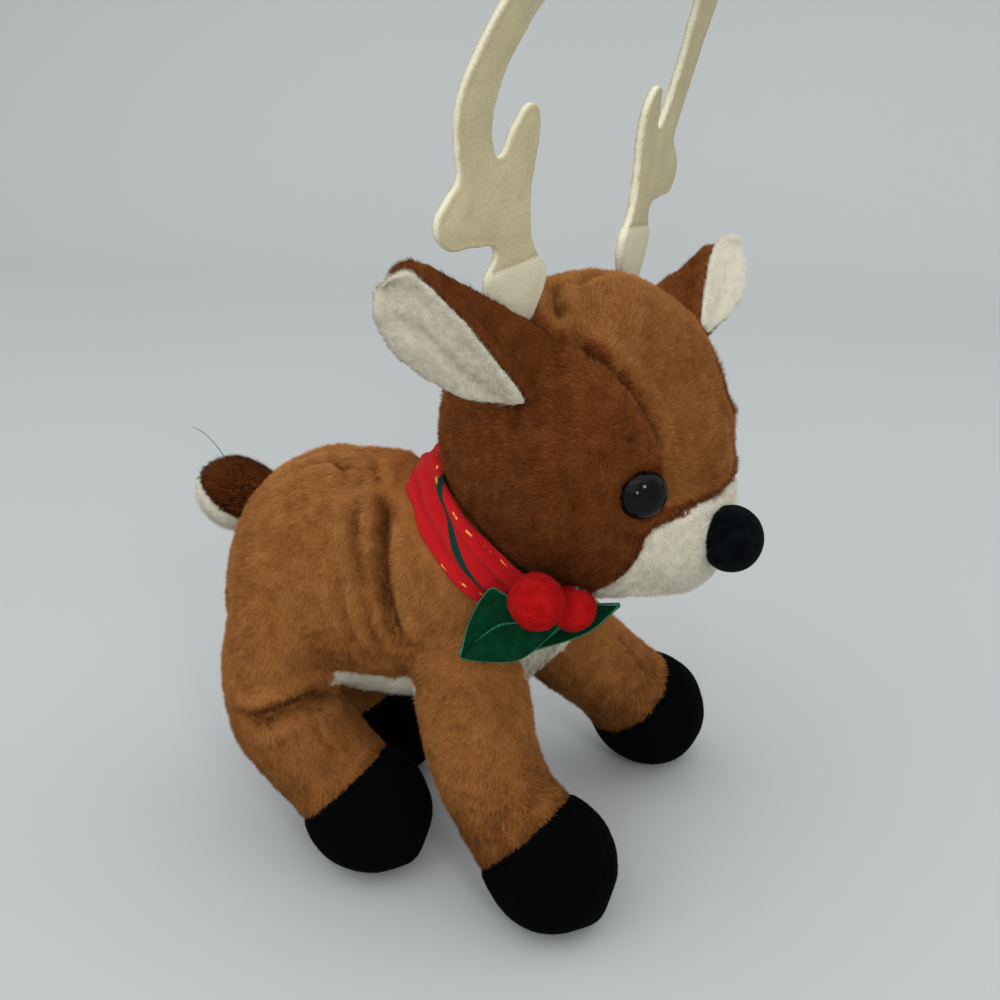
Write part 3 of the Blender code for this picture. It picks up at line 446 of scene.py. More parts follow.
class Skin:
    """A stuffed skin as points and square faces, in millimetres."""

    def __init__(self, name: str, parts: Sequence[Form], voxel: float) -> None:
        """Melts overlapping closed forms into one even skin.

        Args:
            name: the name of the skin.
            parts: points and faces of each form.
            voxel: the size of the skin's squares.
        """
        self.name = name
        starts = np.concatenate([[0], np.cumsum([len(points) for points, _ in parts])])
        points = np.concatenate([points for points, _ in parts])
        groups = [group + start for (_, faces), start in zip(parts, starts) for group in faces]
        rough = mesh_object(f"{name}_rough", points, groups)
        even = rough.modifiers.new("even", "REMESH")
        even.mode = "VOXEL"
        even.voxel_size = voxel * MM
        self.points, self.faces = read_mesh(rough)
        self.hollow = np.zeros(len(self.points))
        remove(rough)
        sides = self.faces.shape[1]
        pairs = np.concatenate([self.faces[:, [k, (k + 1) % sides]] for k in range(sides)])
        self.edges = np.unique(np.sort(pairs, axis=1), axis=0)

    def relax(self, times: int, where: Optional[Array] = None) -> None:
        """Evens the skin without shrinking it.

        Each pass moves a point toward its neighbours' mean, then a little further back.

        Args:
            times: how many passes.
            where: how much of the move each point takes, or None for all of it.
        """
        count = len(self.points)
        first, second = self.edges.T
        degree = np.bincount(self.edges.ravel(), minlength=count)[:, None]
        hold = 1.0 if where is None else where[:, None]
        for amount in RELAXING * times:
            total = np.stack([
                np.bincount(first, line[second], count) + np.bincount(second, line[first], count)
                for line in self.points.T
            ], axis=1)
            self.points = self.points + amount * hold * (total / degree - self.points)

    def normals(self) -> Array:
        """The way out at each point, the mean of its faces' cross products.

        Returns:
            a row for each point.
        """
        corner = self.points[self.faces]
        cross = np.cross(corner[:, 2] - corner[:, 0], corner[:, -1] - corner[:, 1])
        total = np.zeros_like(self.points)
        for k in range(self.faces.shape[1]):
            for axis in range(3):
                total[:, axis] += np.bincount(self.faces[:, k], cross[:, axis], len(self.points))
        return unit(total)

    def push(self, amount: Array) -> None:
        """Moves each point outwards by its own amount."""
        self.points = self.points + self.normals() * amount[:, None]

    def tree(self) -> BVHTree:
        """The skin as a tree for rays."""
        return BVHTree.FromPolygons(self.points.tolist(), self.faces.tolist())

    def seen(self, spots: Spots) -> Array:
        """Places on the skin behind picture points.

        Args:
            spots: the picture points.

        Returns:
            a place for each that meets the skin.
        """
        tree = self.tree()
        start = Vector(CAMERA.place)
        found = [tree.ray_cast(start, Vector(way))[0] for way in CAMERA.rays(np.asarray(spots, float))]
        return np.array([place for place in found if place is not None])

    def fold(self, folds: Sequence[Fold], mirror: Places) -> None:
        """Presses folds into the skin.

        A point at distance d from the fold's line moves out by lift * exp(-((d - 2 w) / w)^2) - depth *
        exp(-(d / w)^2), which fades toward the line's ends.

        Args:
            folds: the folds.
            mirror: carries places to the toy's other side.
        """
        amount = np.zeros(len(self.points))
        for item in folds:
            line = self.seen(item.spots)
            if len(line) < 2:
                LOG.warning("%s: a fold misses the skin", self.name)
                continue
            line = through(line, 4 * len(line))
            for path in (line, mirror(line)) if item.mirrored else (line,):
                away, along = distance_to_path(self.points, path)
                fade = smoothstep(0.0, FOLD_END, along) * smoothstep(0.0, FOLD_END, 1 - along)
                dip = item.depth * bell(away, item.width)
                rise = item.lift * bell(away - 2 * item.width, item.width)
                amount += fade * (rise - dip)
        # The fold depth also goes into the pile's colour: painted shade in the groove, painted light on the
        # rise beside it.
        self.hollow = self.hollow + amount
        self.push(amount)

    def swell(self, swells: Sequence[Swell], mirror: Places) -> None:
        """Raises the skin round picture points by lift * exp(-(d / radius)^2), d away from them.

        Args:
            swells: the swells.
            mirror: carries places to the toy's other side.
        """
        amount = np.zeros(len(self.points))
        for item in swells:
            for place in self.seen([item.spot]):
                for middle in (place, mirror(place[None])[0]) if item.mirrored else (place,):
                    away = np.linalg.norm(self.points - middle, axis=1)
                    amount += item.lift * bell(away, item.radius)
        self.push(amount)

    def part(self, keep: Array) -> "SkinPart":
        """The faces that a mask of points keeps, as a skin of its own."""
        return self.gather(self.faces[keep[self.faces].all(axis=1)])

    def whole(self) -> "SkinPart":
        """All of it."""
        return self.gather(self.faces)

    def rest_of(self, keep: Array) -> "SkinPart":
        """The faces that part leaves out."""
        return self.gather(self.faces[~keep[self.faces].all(axis=1)])

    def gather(self, faces: Array) -> "SkinPart":
        """Some faces with the points that they use.

        Args:
            faces: the faces' corners.

        Returns:
            the part that they make.
        """
        used, local = np.unique(faces, return_inverse=True)
        local = local.reshape(-1, self.faces.shape[1])
        return SkinPart(self.points[used], self.normals()[used], local, self.hollow[used])


@dataclass
class SkinPart:
    """Part of a skin.

    Attributes:
        points: places in millimetres.
        normals: the way out at each.
        faces: corner indices.
        hollow: how far each point was pressed in or raised, which puts painted shade into its pile in hollows
            and painted light on ridges; the legs and the tail add painted shade here, and the antlers a paler
            foot.
    """

    points: Array
    normals: Array
    faces: Array
    hollow: Optional[Array] = None

    def build(self, name: str, finish: "Finish", tint: Optional[Array] = None) -> bpy.types.Object:
        """The part as an object.

        Args:
            name: the object's name.
            finish: its material.
            tint: a colour for each point, or None.

        Returns:
            the object.
        """
        obj = mesh_object(name, self.points, [self.faces])
        if tint is not None:
            layer = obj.data.color_attributes.new(name="tint", type="FLOAT_COLOR", domain="POINT")
            layer.data.foreach_set("color", np.concatenate([tint, np.ones((len(tint), 1))], axis=1).ravel())
        obj.data.materials.append(finish.material())
        return obj


# Shader maths


class Value:
    """A number inside a material, which takes part in sums."""

    def __init__(self, maker: "Maker", socket: bpy.types.NodeSocket) -> None:
        """Wraps a socket of a maker's material."""
        self.maker = maker
        self.socket = socket

    def _maths(self, operation: str, *others: Any) -> "Value":
        """A Math node on values and numbers."""
        node = self.maker.node("ShaderNodeMath", {"operation": operation}, dict(enumerate(others)))
        return Value(self.maker, node.outputs[0])

    def __add__(self, other: Any) -> "Value":
        """self + other."""
        return self._maths("ADD", self, other)

    __radd__ = __add__

    def __sub__(self, other: Any) -> "Value":
        """self - other."""
        return self._maths("SUBTRACT", self, other)

    def __rsub__(self, other: Any) -> "Value":
        """other - self."""
        return self._maths("SUBTRACT", other, self)

    def __mul__(self, other: Any) -> "Value":
        """self * other."""
        return self._maths("MULTIPLY", self, other)

    __rmul__ = __mul__

    def wave(self) -> "Value":
        """The sine."""
        return self._maths("SINE", self)

    def size(self) -> "Value":
        """The value without its sign."""
        return self._maths("ABSOLUTE", self)

    def repeat(self) -> "Value":
        """What is left after the whole number."""
        return self._maths("FRACT", self)

    def band(self, low: Any, high: Any) -> "Value":
        """0 at low, 1 at high, with an even bend between."""
        sockets = {"Value": self, "From Min": low, "From Max": high}
        node = self.maker.node("ShaderNodeMapRange", {"interpolation_type": "SMOOTHSTEP"}, sockets)
        return Value(self.maker, node.outputs["Result"])


class Maker:
    """Adds nodes to one material."""

    def __init__(self, name: str) -> None:
        """Starts an empty Principled material."""
        self.material = bpy.data.materials.new(name)
        self.material.use_nodes = True
        self.tree = self.material.node_tree
        self.shader = self.tree.nodes["Principled BSDF"]

    def node(
        self, kind: str, settings: Optional[dict[str, Any]] = None, sockets: Optional[dict[Any, Any]] = None,
    ) -> bpy.types.Node:
        """A node with its settings and sockets filled in.

        Args:
            kind: the node's type.
            settings: its own settings, set first.
            sockets: a value, colour or link for each named or numbered input.

        Returns:
            the node.
        """
        node = self.tree.nodes.new(kind)
        for key, value in (settings or {}).items():
            setattr(node, key, value)
        for key, value in (sockets or {}).items():
            self.fill(node.inputs[key], value)
        return node

    def fill(self, socket: bpy.types.NodeSocket, value: Any) -> None:
        """Sets an input to a number or colour, or links it.

        Args:
            socket: the input.
            value: a number, a colour, a value or an output.
        """
        if isinstance(value, Value):
            value = value.socket
        if isinstance(value, bpy.types.NodeSocket):
            self.tree.links.new(value, socket)
        elif isinstance(value, tuple) and len(value) == 3 and socket.type == "RGBA":
            socket.default_value = (*value, 1.0)
        else:
            socket.default_value = value

    def place(self) -> bpy.types.NodeSocket:
        """Object coordinates."""
        return self.node("ShaderNodeTexCoord").outputs["Object"]

    def strands(self) -> tuple[Value, Value]:
        """Both numbers of the piece's own UV map."""
        chart = self.node("ShaderNodeUVMap", {"uv_map": UV_NAME}).outputs[0]
        split = self.node("ShaderNodeSeparateXYZ", None, {0: chart})
        return Value(self, split.outputs[0]), Value(self, split.outputs[1])

    def noise(self, size: float, detail: float = 3.0, where: Any = None) -> Value:
        """Noise from 0 to 1 whose blots have about the given size in metres."""
        sockets = {"Vector": where or self.place(), "Scale": 1.0 / size, "Detail": detail}
        return Value(self, self.node("ShaderNodeTexNoise", None, sockets).outputs[0])

    def mix(self, share: Any, first: Any, second: Any) -> bpy.types.NodeSocket:
        """A colour between two.

        Args:
            share: how much of the second, 0 to 1.
            first: one colour.
            second: the other.

        Returns:
            the mixed colour.
        """
        settings = {"data_type": "RGBA"}
        node = self.node("ShaderNodeMix", settings)
        self.fill(node.inputs[0], share)
        self.fill(node.inputs[6], first)
        self.fill(node.inputs[7], second)
        return node.outputs[2]

    def tint(self) -> bpy.types.NodeSocket:
        """The piece's own colour attribute."""
        return self.node("ShaderNodeAttribute", {"attribute_name": "tint"}).outputs["Color"]

    def bump(self, height: Value, depth: float) -> None:
        """Raises the surface by a height."""
        sockets = {"Height": height, "Distance": depth}
        self.fill(self.shader.inputs["Normal"], self.node("ShaderNodeBump", None, sockets).outputs[0])

    def set(self, **values: Any) -> bpy.types.Material:
        """Fills the shader's inputs.

        Args:
            values: a number, colour or link for each input, with underscores in its name.

        Returns:
            the material.
        """
        for key, value in values.items():
            self.fill(self.shader.inputs[key.replace("_", " ")], value)
        return self.material


@dataclass(frozen=True)
class Finish:
    """A material, made once."""

    name: str

    def material(self) -> bpy.types.Material:
        """The finished material."""
        return bpy.data.materials.get(self.name) or self.make(Maker(self.name))

    def make(self, maker: Maker) -> bpy.types.Material:
        """Fills a new material's nodes.

        Args:
            maker: adds the nodes.

        Returns:
            the material.
        """
        raise NotImplementedError


@dataclass(frozen=True)
class Backing(Finish):
    """The knitted ground under a pile, darker than the pile and mottled."""

    colour: Colour = (0.2, 0.1, 0.04)
    tinted: bool = False

    def make(self, maker: Maker) -> bpy.types.Material:
        """A mottled cloth with a fine knit."""
        base = maker.tint() if self.tinted else self.colour
        dark = maker.mix(0.2, base, (0.0, 0.0, 0.0))
        shade = maker.noise(2.2 * MM)
        knit = maker.noise(0.5 * MM, 2.0)
        maker.bump(knit, 0.2 * MM)
        colour = maker.mix(shade.band(0.3, 0.7), dark, base)
        return maker.set(Base_Color=colour, Roughness=0.95, Specular_IOR_Level=0.03)


@dataclass(frozen=True)
class Strand(Finish):
    """Pile fibres: dark at the root, light at the tip, each with its own shade, which carries random tone,
    painted shade and painted light.
    """

    root: Colour = (0.15, 0.07, 0.03)
    tip: Colour = (0.45, 0.25, 0.1)
    pale: Colour = (0.6, 0.38, 0.18)
    sheen: float = 0.35
    deep: float = 0.45
    gloss: float = 0.06

    def make(self, maker: Maker) -> bpy.types.Material:
        """A colour from the strand's chart: across it the shade, up it the way along the fibre."""
        shade, along = maker.strands()
        # Low shades, much of them painted shade, fall toward a dark copy of the root colour; high shades,
        # part of them painted light, toward pale.
        deep = tuple(channel * self.deep for channel in self.root)
        colour = maker.mix(shade.band(0.4, 1.0), self.tip, self.pale)
        colour = maker.mix(shade.band(0.4, 0.0), colour, deep)
        colour = maker.mix(along.band(0.75, 0.0) * 0.8, colour, self.root)
        tint = (*self.pale, 1.0)
        shine = {"Sheen_Weight": self.sheen, "Sheen_Roughness": 0.4, "Sheen_Tint": tint}
        return maker.set(Base_Color=colour, Roughness=0.85, Specular_IOR_Level=self.gloss, **shine)


@dataclass(frozen=True)
class Felt(Finish):
    """Pressed felt: a plain colour with soft blots, short fibres and paler cut edges."""

    colour: Colour = (0.53, 0.455, 0.275)
    edge: Colour = (0.78, 0.73, 0.56)

    def make(self, maker: Maker) -> bpy.types.Material:
        """Blots of two sizes, and a bump of fibres."""
        cloud = maker.noise(7 * MM)
        fibre = maker.noise(0.45 * MM, 4.0)
        dark = tuple(channel * 0.9 for channel in self.colour)
        base = maker.mix(cloud.band(0.3, 0.7), dark, self.colour)
        base = maker.mix(fibre.band(0.45, 0.75) * 0.3, base, self.edge)
        rim = Value(maker, maker.node("ShaderNodeAttribute", {"attribute_name": "rim"}).outputs["Fac"])
        base = maker.mix(rim, base, self.edge)
        maker.bump(fibre + maker.noise(1.6 * MM) * 0.8, 0.3 * MM)
        return maker.set(Base_Color=base, Roughness=0.96, Specular_IOR_Level=0.05, Sheen_Weight=0.05)


@dataclass(frozen=True)
class Velvet(Finish):
    """Short velvet with a fine twill, lint and a sheen."""

    colour: Colour = (0.0015, 0.002, 0.0026)
    lint: Colour = (0.006, 0.008, 0.01)
    sheen: float = 0.02

    def make(self, maker: Maker) -> bpy.types.Material:
        """Blots, lint specks and the bump of a nap."""
        cloud = maker.noise(3.5 * MM)
        nap = maker.noise(0.28 * MM, 3.0)
        lint = maker.noise(0.6 * MM, 2.0)
        share = cloud.band(0.35, 0.7) * 0.6 + lint.band(0.6, 0.8) * 0.4
        base = maker.mix(share, self.colour, self.lint)
        maker.bump(nap, 0.15 * MM)
        shine = {"Sheen_Weight": self.sheen, "Sheen_Roughness": 0.4}
        return maker.set(Base_Color=base, Roughness=0.9, Specular_IOR_Level=0.02, **shine)


@dataclass(frozen=True)
class EyeGloss(Finish):
    """Polished black plastic with a faint brown cloud."""

    def make(self, maker: Maker) -> bpy.types.Material:
        """A faint cloud in the depth of the plastic."""
        cloud = maker.noise(5 * MM, 1.0)
        base = maker.mix(cloud.band(0.4, 0.75), (0.0012, 0.0014, 0.0016), (0.004, 0.003, 0.0026))
        return maker.set(Base_Color=base, Roughness=0.05, Specular_IOR_Level=0.15)


@dataclass(frozen=True)
class Plaid(Finish):
    """Woven plaid: red ground, green stripes and thin golden dashes, from the cloth's own chart."""

    red: Colour = (0.5, 0.009, 0.012)
    green: Colour = (0.006, 0.035, 0.024)
    gold: Colour = (0.8, 0.5, 0.09)
    repeats: tuple[float, float] = (3.2, 0.9)

    def make(self, maker: Maker) -> bpy.types.Material:
        """Stripes along and across, crossed by a diagonal twill."""
        along, across = maker.strands()
        turned = (along * self.repeats[0] + across * 0.9 + 0.16, across * self.repeats[1] + 0.12)
        stripe = [((part + 0.35).repeat() - 0.5).size() for part in turned]
        wide = [part.band(0.045, 0.033) for part in stripe]
        thin = [(part - 0.2).size().band(0.011, 0.005) for part in stripe]
        dash = (along * 190.0 + across * 12.0).wave().band(0.2, 0.5)
        twill = ((along * 900.0 + across * 190.0).wave() * 0.5 + 0.5)
        base = maker.mix(twill * 0.35, self.red, tuple(channel * 0.7 for channel in self.red))
        base = maker.mix(wide[1], base, self.green)
        base = maker.mix(wide[0], base, self.green)
        base = maker.mix(thin[1] * dash * maker.noise(7 * MM).band(0.48, 0.56), base, self.gold)
        maker.bump(twill + maker.noise(0.5 * MM) * 0.6, 0.08 * MM)
        return maker.set(Base_Color=base, Roughness=0.85, Specular_IOR_Level=0.08, Sheen_Weight=0.03)


@dataclass(frozen=True)
class LeafVelvet(Finish):
    """Green velvet with stitched veins and a paler cut edge, from the leaf's own chart."""

    colour: Colour = (0.0006, 0.024, 0.009)
    pale: Colour = (0.003, 0.05, 0.02)
    edge: Colour = (0.03, 0.15, 0.085)
    vein: Colour = (0.03, 0.17, 0.09)

    def make(self, maker: Maker) -> bpy.types.Material:
        """A middle vein, side veins that leave it, and the rim."""
        along, across = maker.strands()
        side = (across - 0.5).size() * 2.0
        middle = side.band(0.05, 0.02)
        branch = ((along * 3.2 - side * 0.7).repeat() - 0.5).size().band(0.05, 0.015) * side.band(1.0, 0.85)
        stitch = (along * 150.0).wave().band(-0.6, 0.2)
        cloud = maker.noise(2.4 * MM)
        base = maker.mix(cloud.band(0.35, 0.75) * 0.5, self.colour, self.pale)
        base = maker.mix(branch * 0.3, base, self.pale)
        base = maker.mix(middle * (stitch * 0.4 + 0.5), base, self.vein)
        base = maker.mix(side.band(0.975, 0.99), base, self.edge)
        maker.bump((middle + branch * 0.3) * -1.0 + maker.noise(0.3 * MM) * 0.4, 0.25 * MM)
        return maker.set(Base_Color=base, Roughness=0.85, Specular_IOR_Level=0.04)


@dataclass(frozen=True)
class Moulded(Finish):
    """Plain moulded plastic or pressed sheet with a faint grain."""

    colour: Colour = (0.7, 0.7, 0.68)
    roughness: float = 0.45

    def make(self, maker: Maker) -> bpy.types.Material:
        """A grain in colour and bump."""
        grain = maker.noise(0.4 * MM)
        base = maker.mix(grain, tuple(channel * 0.9 for channel in self.colour), self.colour)
        maker.bump(grain, 0.03 * MM)
        return maker.set(Base_Color=base, Roughness=self.roughness)


CARAMEL = Strand("caramel_pile", (0.2, 0.07, 0.017), (0.34, 0.126, 0.031), (0.52, 0.235, 0.075))
BROWN = Strand("brown_pile", (0.085, 0.021, 0.005), (0.15, 0.04, 0.0085), (0.29, 0.1, 0.026), 0.5)
FOREHEAD = Strand("forehead_pile", (0.15, 0.051, 0.012), (0.235, 0.084, 0.02), (0.39, 0.165, 0.05))
# The tail's brown pile, darker than the head's: partly its own colour, partly painted shade.
SHADED_TAIL_BROWN = Strand("tail_pile", (0.03, 0.007, 0.002), (0.065, 0.017, 0.004), (0.19, 0.066, 0.018), 0.15, 0.5, 0.03)
CREAM = Strand("cream_pile", (0.6, 0.56, 0.44), (0.76, 0.72, 0.59), (0.82, 0.79, 0.68), 0.3, 0.85)
NIGHT = Strand(
    "black_pile", (0.0012, 0.0018, 0.0022), (0.0018, 0.003, 0.0036), (0.004, 0.006, 0.007), 0.0, 0.8, 0.0,
)
BERRY = Strand("red_pile", (0.42, 0.004, 0.003), (0.66, 0.004, 0.003), (0.74, 0.02, 0.012), 0.1, 0.7, 0.04)
IVORY = Strand("ivory_fuzz", (0.5, 0.43, 0.26), (0.56, 0.485, 0.3), (0.76, 0.71, 0.54), 0.05, 0.9, 0.03)
SKIN_TINTED = Backing("ground_cloth", tinted=True)
CARAMEL_GROUND: Colour = (0.29, 0.108, 0.028)
BROWN_GROUND: Colour = (0.14, 0.04, 0.009)
FOREHEAD_GROUND: Colour = (0.21, 0.075, 0.019)
CREAM_GROUND: Colour = (0.66, 0.61, 0.48)
NIGHT_GROUND: Colour = (0.001, 0.0016, 0.002)


@dataclass
class Pile:
    """Cut pile on a skin.

    Each fibre is one thin triangle. Its root is a random place of the skin. Its way is the skin's normal
    tipped toward the combed way, and both wander a little from place to place, so that the pile falls in
    soft tufts.

    Attributes:
        finish: the fibres' material.
        length: the fibres' mean length in millimetres.
        width: a fibre's width at its root.
        density: fibres to the square millimetre.
        tip_over: how far the pile lies down, 0 upright to 1 flat.
        tuft: the size of a tuft in millimetres.
        stray: how far a tuft strays from the combed way.
        loose: how far a single fibre does.
        worn: how much paler the fibres are on top, as painted light from above.
        under: how much darker they are beneath, as painted shade.
    """

    finish: Strand
    length: float = 1.9
    width: float = 0.17
    density: float = 11.0
    tip_over: float = 0.66
    tuft: float = 1.8
    stray: float = 0.35
    loose: float = 0.13
    worn: float = 0.25
    under: float = 0.35

    def grow(
        self, name: str, skin: SkinPart, comb: Places, mask: Optional[Places], seed: int,
    ) -> bpy.types.Object:
        """Plants the pile.

        A fibre's shade, 0 dark to 1 pale, changes from tuft to tuft and from fibre to fibre. On top of that
        it falls as painted shade in pressed folds and on undersides, and rises as painted light on ridges and
        on what looks up.

        Args:
            name: the object's name.
            skin: what it stands on.
            comb: gives the combed ways at places.
            mask: which places get fibres, as numbers from 0 to 1, or None for all.
            seed: which random numbers.

        Returns:
            the pile's object.
        """
        rng = np.random.default_rng(SEED + seed)
        faces = skin.faces
        if faces.shape[1] == 4:
            faces = np.concatenate([faces[:, [0, 1, 2]], faces[:, [0, 2, 3]]])
        corner = skin.points[faces]
        area = np.linalg.norm(np.cross(corner[:, 1] - corner[:, 0], corner[:, 2] - corner[:, 0]), axis=1) / 2
        if mask is not None:
            area = area * (mask(corner.mean(1)) > 0)
        share = np.cumsum(area)
        density = self.density * 1.0
        count = min(int(share[-1] * density), MOST_FIBRES)
        pick = np.searchsorted(share, (np.arange(count) + rng.random(count)) / count * share[-1])
        pick = np.minimum(pick, len(faces) - 1)
        one, two = np.sqrt(rng.random(count)), rng.random(count)
        weights = np.stack([1 - one, one * (1 - two), one * two], 1)
        root = (corner[pick] * weights[:, :, None]).sum(1)
        out = unit((skin.normals[faces[pick]] * weights[:, :, None]).sum(1))
        # The skin's hollow values at each root, which carry painted shade and painted light into the fibre's
        # shade.
        pressed = np.zeros(count) if skin.hollow is None else (skin.hollow[faces[pick]] * weights).sum(1)
        if mask is not None:
            stay = rng.random(count) < mask(root)
            root, out, pressed = root[stay], out[stay], pressed[stay]
            count = len(root)
        drift = wander(root, self.tuft, seed + 1, 3) + 0.5 * wander(root, self.tuft * FINE_TUFT, seed + 2, 3)
        patch = ripple(root, self.tuft * 1.7, seed + 3)
        stroke = comb(root)
        stroke = unit(stroke - out * (stroke * out).sum(1, keepdims=True) + self.stray * drift)
        loose = rng.normal(0.0, self.loose, (count, 3))
        over = self.tip_over * (1 + 0.2 * patch[:, None])
        way = unit(out * (1.05 - over) + stroke * over + loose)
        way = unit(way + out * np.maximum(0.0, LEAST_LEAN - (way * out).sum(1, keepdims=True)))
        length = self.length * (1 + 0.14 * rng.normal(size=count) + 0.1 * patch)[:, None]
        broad = unit(np.cross(way, out + 0.1 * rng.normal(size=(count, 3))))
        broad = broad * (0.5 * self.width * (0.8 + 0.4 * rng.random((count, 1))))
        base = root - out * BURIED
        points = np.stack([base - broad, base + broad, base + way * length], 1)
        points[:, :, 2] = np.maximum(points[:, :, 2], FLOOR_GAP)
        shade = 0.5 + 0.16 * patch + 0.14 * drift[:, 0] + 0.2 * rng.normal(size=count)
        # Painted shade in folds, low on the legs and at the tail's root, painted light on ridges, and the
        # antler foot's paler tone.
        shade += np.clip(pressed, -2.4, 1.0) * 0.2
        # Painted light on what faces up, painted shade on what faces down.
        shade += self.worn * smoothstep(0.45, 1.0, out[:, 2]) - self.under * smoothstep(0.2, -0.5, out[:, 2])
        low, high = CHART_ENDS
        shade = np.clip(shade, low, high)
        chart = np.stack([np.repeat(shade, 3), np.tile([low, low, high], count)], 1)
        obj = mesh_object(name, points.reshape(-1, 3), [np.arange(count * 3).reshape(-1, 3)], chart)
        facing = unit(out + 0.8 * loose + 0.16 * drift)
        obj.data.normals_split_custom_set_from_vertices(np.repeat(facing, 3, axis=0).tolist())
        obj.data.materials.append(self.finish.material())
        return obj

    def plant(
        self, name: str, skin: SkinPart, comb: Places, mask: Optional[Places], seed: int, body: str,
        slot: str,
    ) -> None:
        """Grows the pile and hangs it on a body, with the arguments of grow and declare."""
        declare(self.grow(name, skin, comb, mask, seed), body, slot)


def combed(way: Sequence[float], swirl: float, seed: int = 7) -> Places:
    """A comb that strokes everything one way, with slow swirls.

    Args:
        way: the combed way.
        swirl: how strong the swirls are.
        seed: which swirls.

    Returns:
        a function from places to ways.
    """
    def comb(points: Array) -> Array:
        """The combed ways: way + swirl * wandering values."""
        return np.asarray(way, float) + swirl * wander(points, SWIRL_SIZE, seed, 3)

    return comb


def mirrored_plane(origin: Array, normal: Array) -> Places:
    """A function that mirrors places in a plane.

    Args:
        origin: a place in the plane.
        normal: the plane's way out.

    Returns:
        a function from places to places.
    """
    def mirror(points: Array) -> Array:
        """Places on the plane's other side: p - 2 ((p - origin) . normal) normal."""
        return points - 2 * ((points - origin) @ normal)[:, None] * normal

    return mirror


def declare(obj: bpy.types.Object, body: str, slot: str, nodes: Sequence[str] = ()) -> None:
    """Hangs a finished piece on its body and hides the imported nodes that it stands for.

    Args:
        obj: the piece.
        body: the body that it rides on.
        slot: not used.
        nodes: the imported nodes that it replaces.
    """
    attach(obj, body)
    if nodes:
        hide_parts(*nodes)
    LOG.info("%s rides on %s, %d faces", obj.name, body, len(obj.data.polygons))


# The body with its four legs


@dataclass
class Leg:
    """One leg: its name, hip, path with radii, ankle, toe's way, and how much painted shade darkens its pile
    below.
    """

    name: str
    hip: Sequence[float]
    stations: Rows
    ankle: Sequence[float]
    toe: Sequence[float]
    dim: float = 0.0

    def form(self) -> Form:
        """The leg as a closed form, from inside the hip to the toe.

        Returns:
            points and faces.
        """
        rows = np.asarray(self.stations, float)
        rows = np.concatenate([rows, rows[:, 3:4]], axis=1)
        rows[:, :3] += STANDING
        tip = rows[-1].copy()
        tip[:3] += np.asarray(self.toe) * 1.6
        tip[3:] *= 0.35
        return loft(np.vstack([rows, tip]), 46, 30)

    def axis(self) -> Array:
        """The middle line, in place."""
        return np.asarray(self.stations, float)[:, :3] + STANDING

    def reach(self, points: Array) -> Array:
        """How far points are from the middle line, over the leg's radius."""
        away, _ = distance_to_path(points, self.axis())
        return away / LEG_RADIUS

    def past(self, points: Array, way: Optional[Array] = None) -> Array:
        """How far points are past the ankle, along the toe's way or another."""
        return (points - np.asarray(self.ankle) - STANDING) @ (np.asarray(self.toe) if way is None else way)


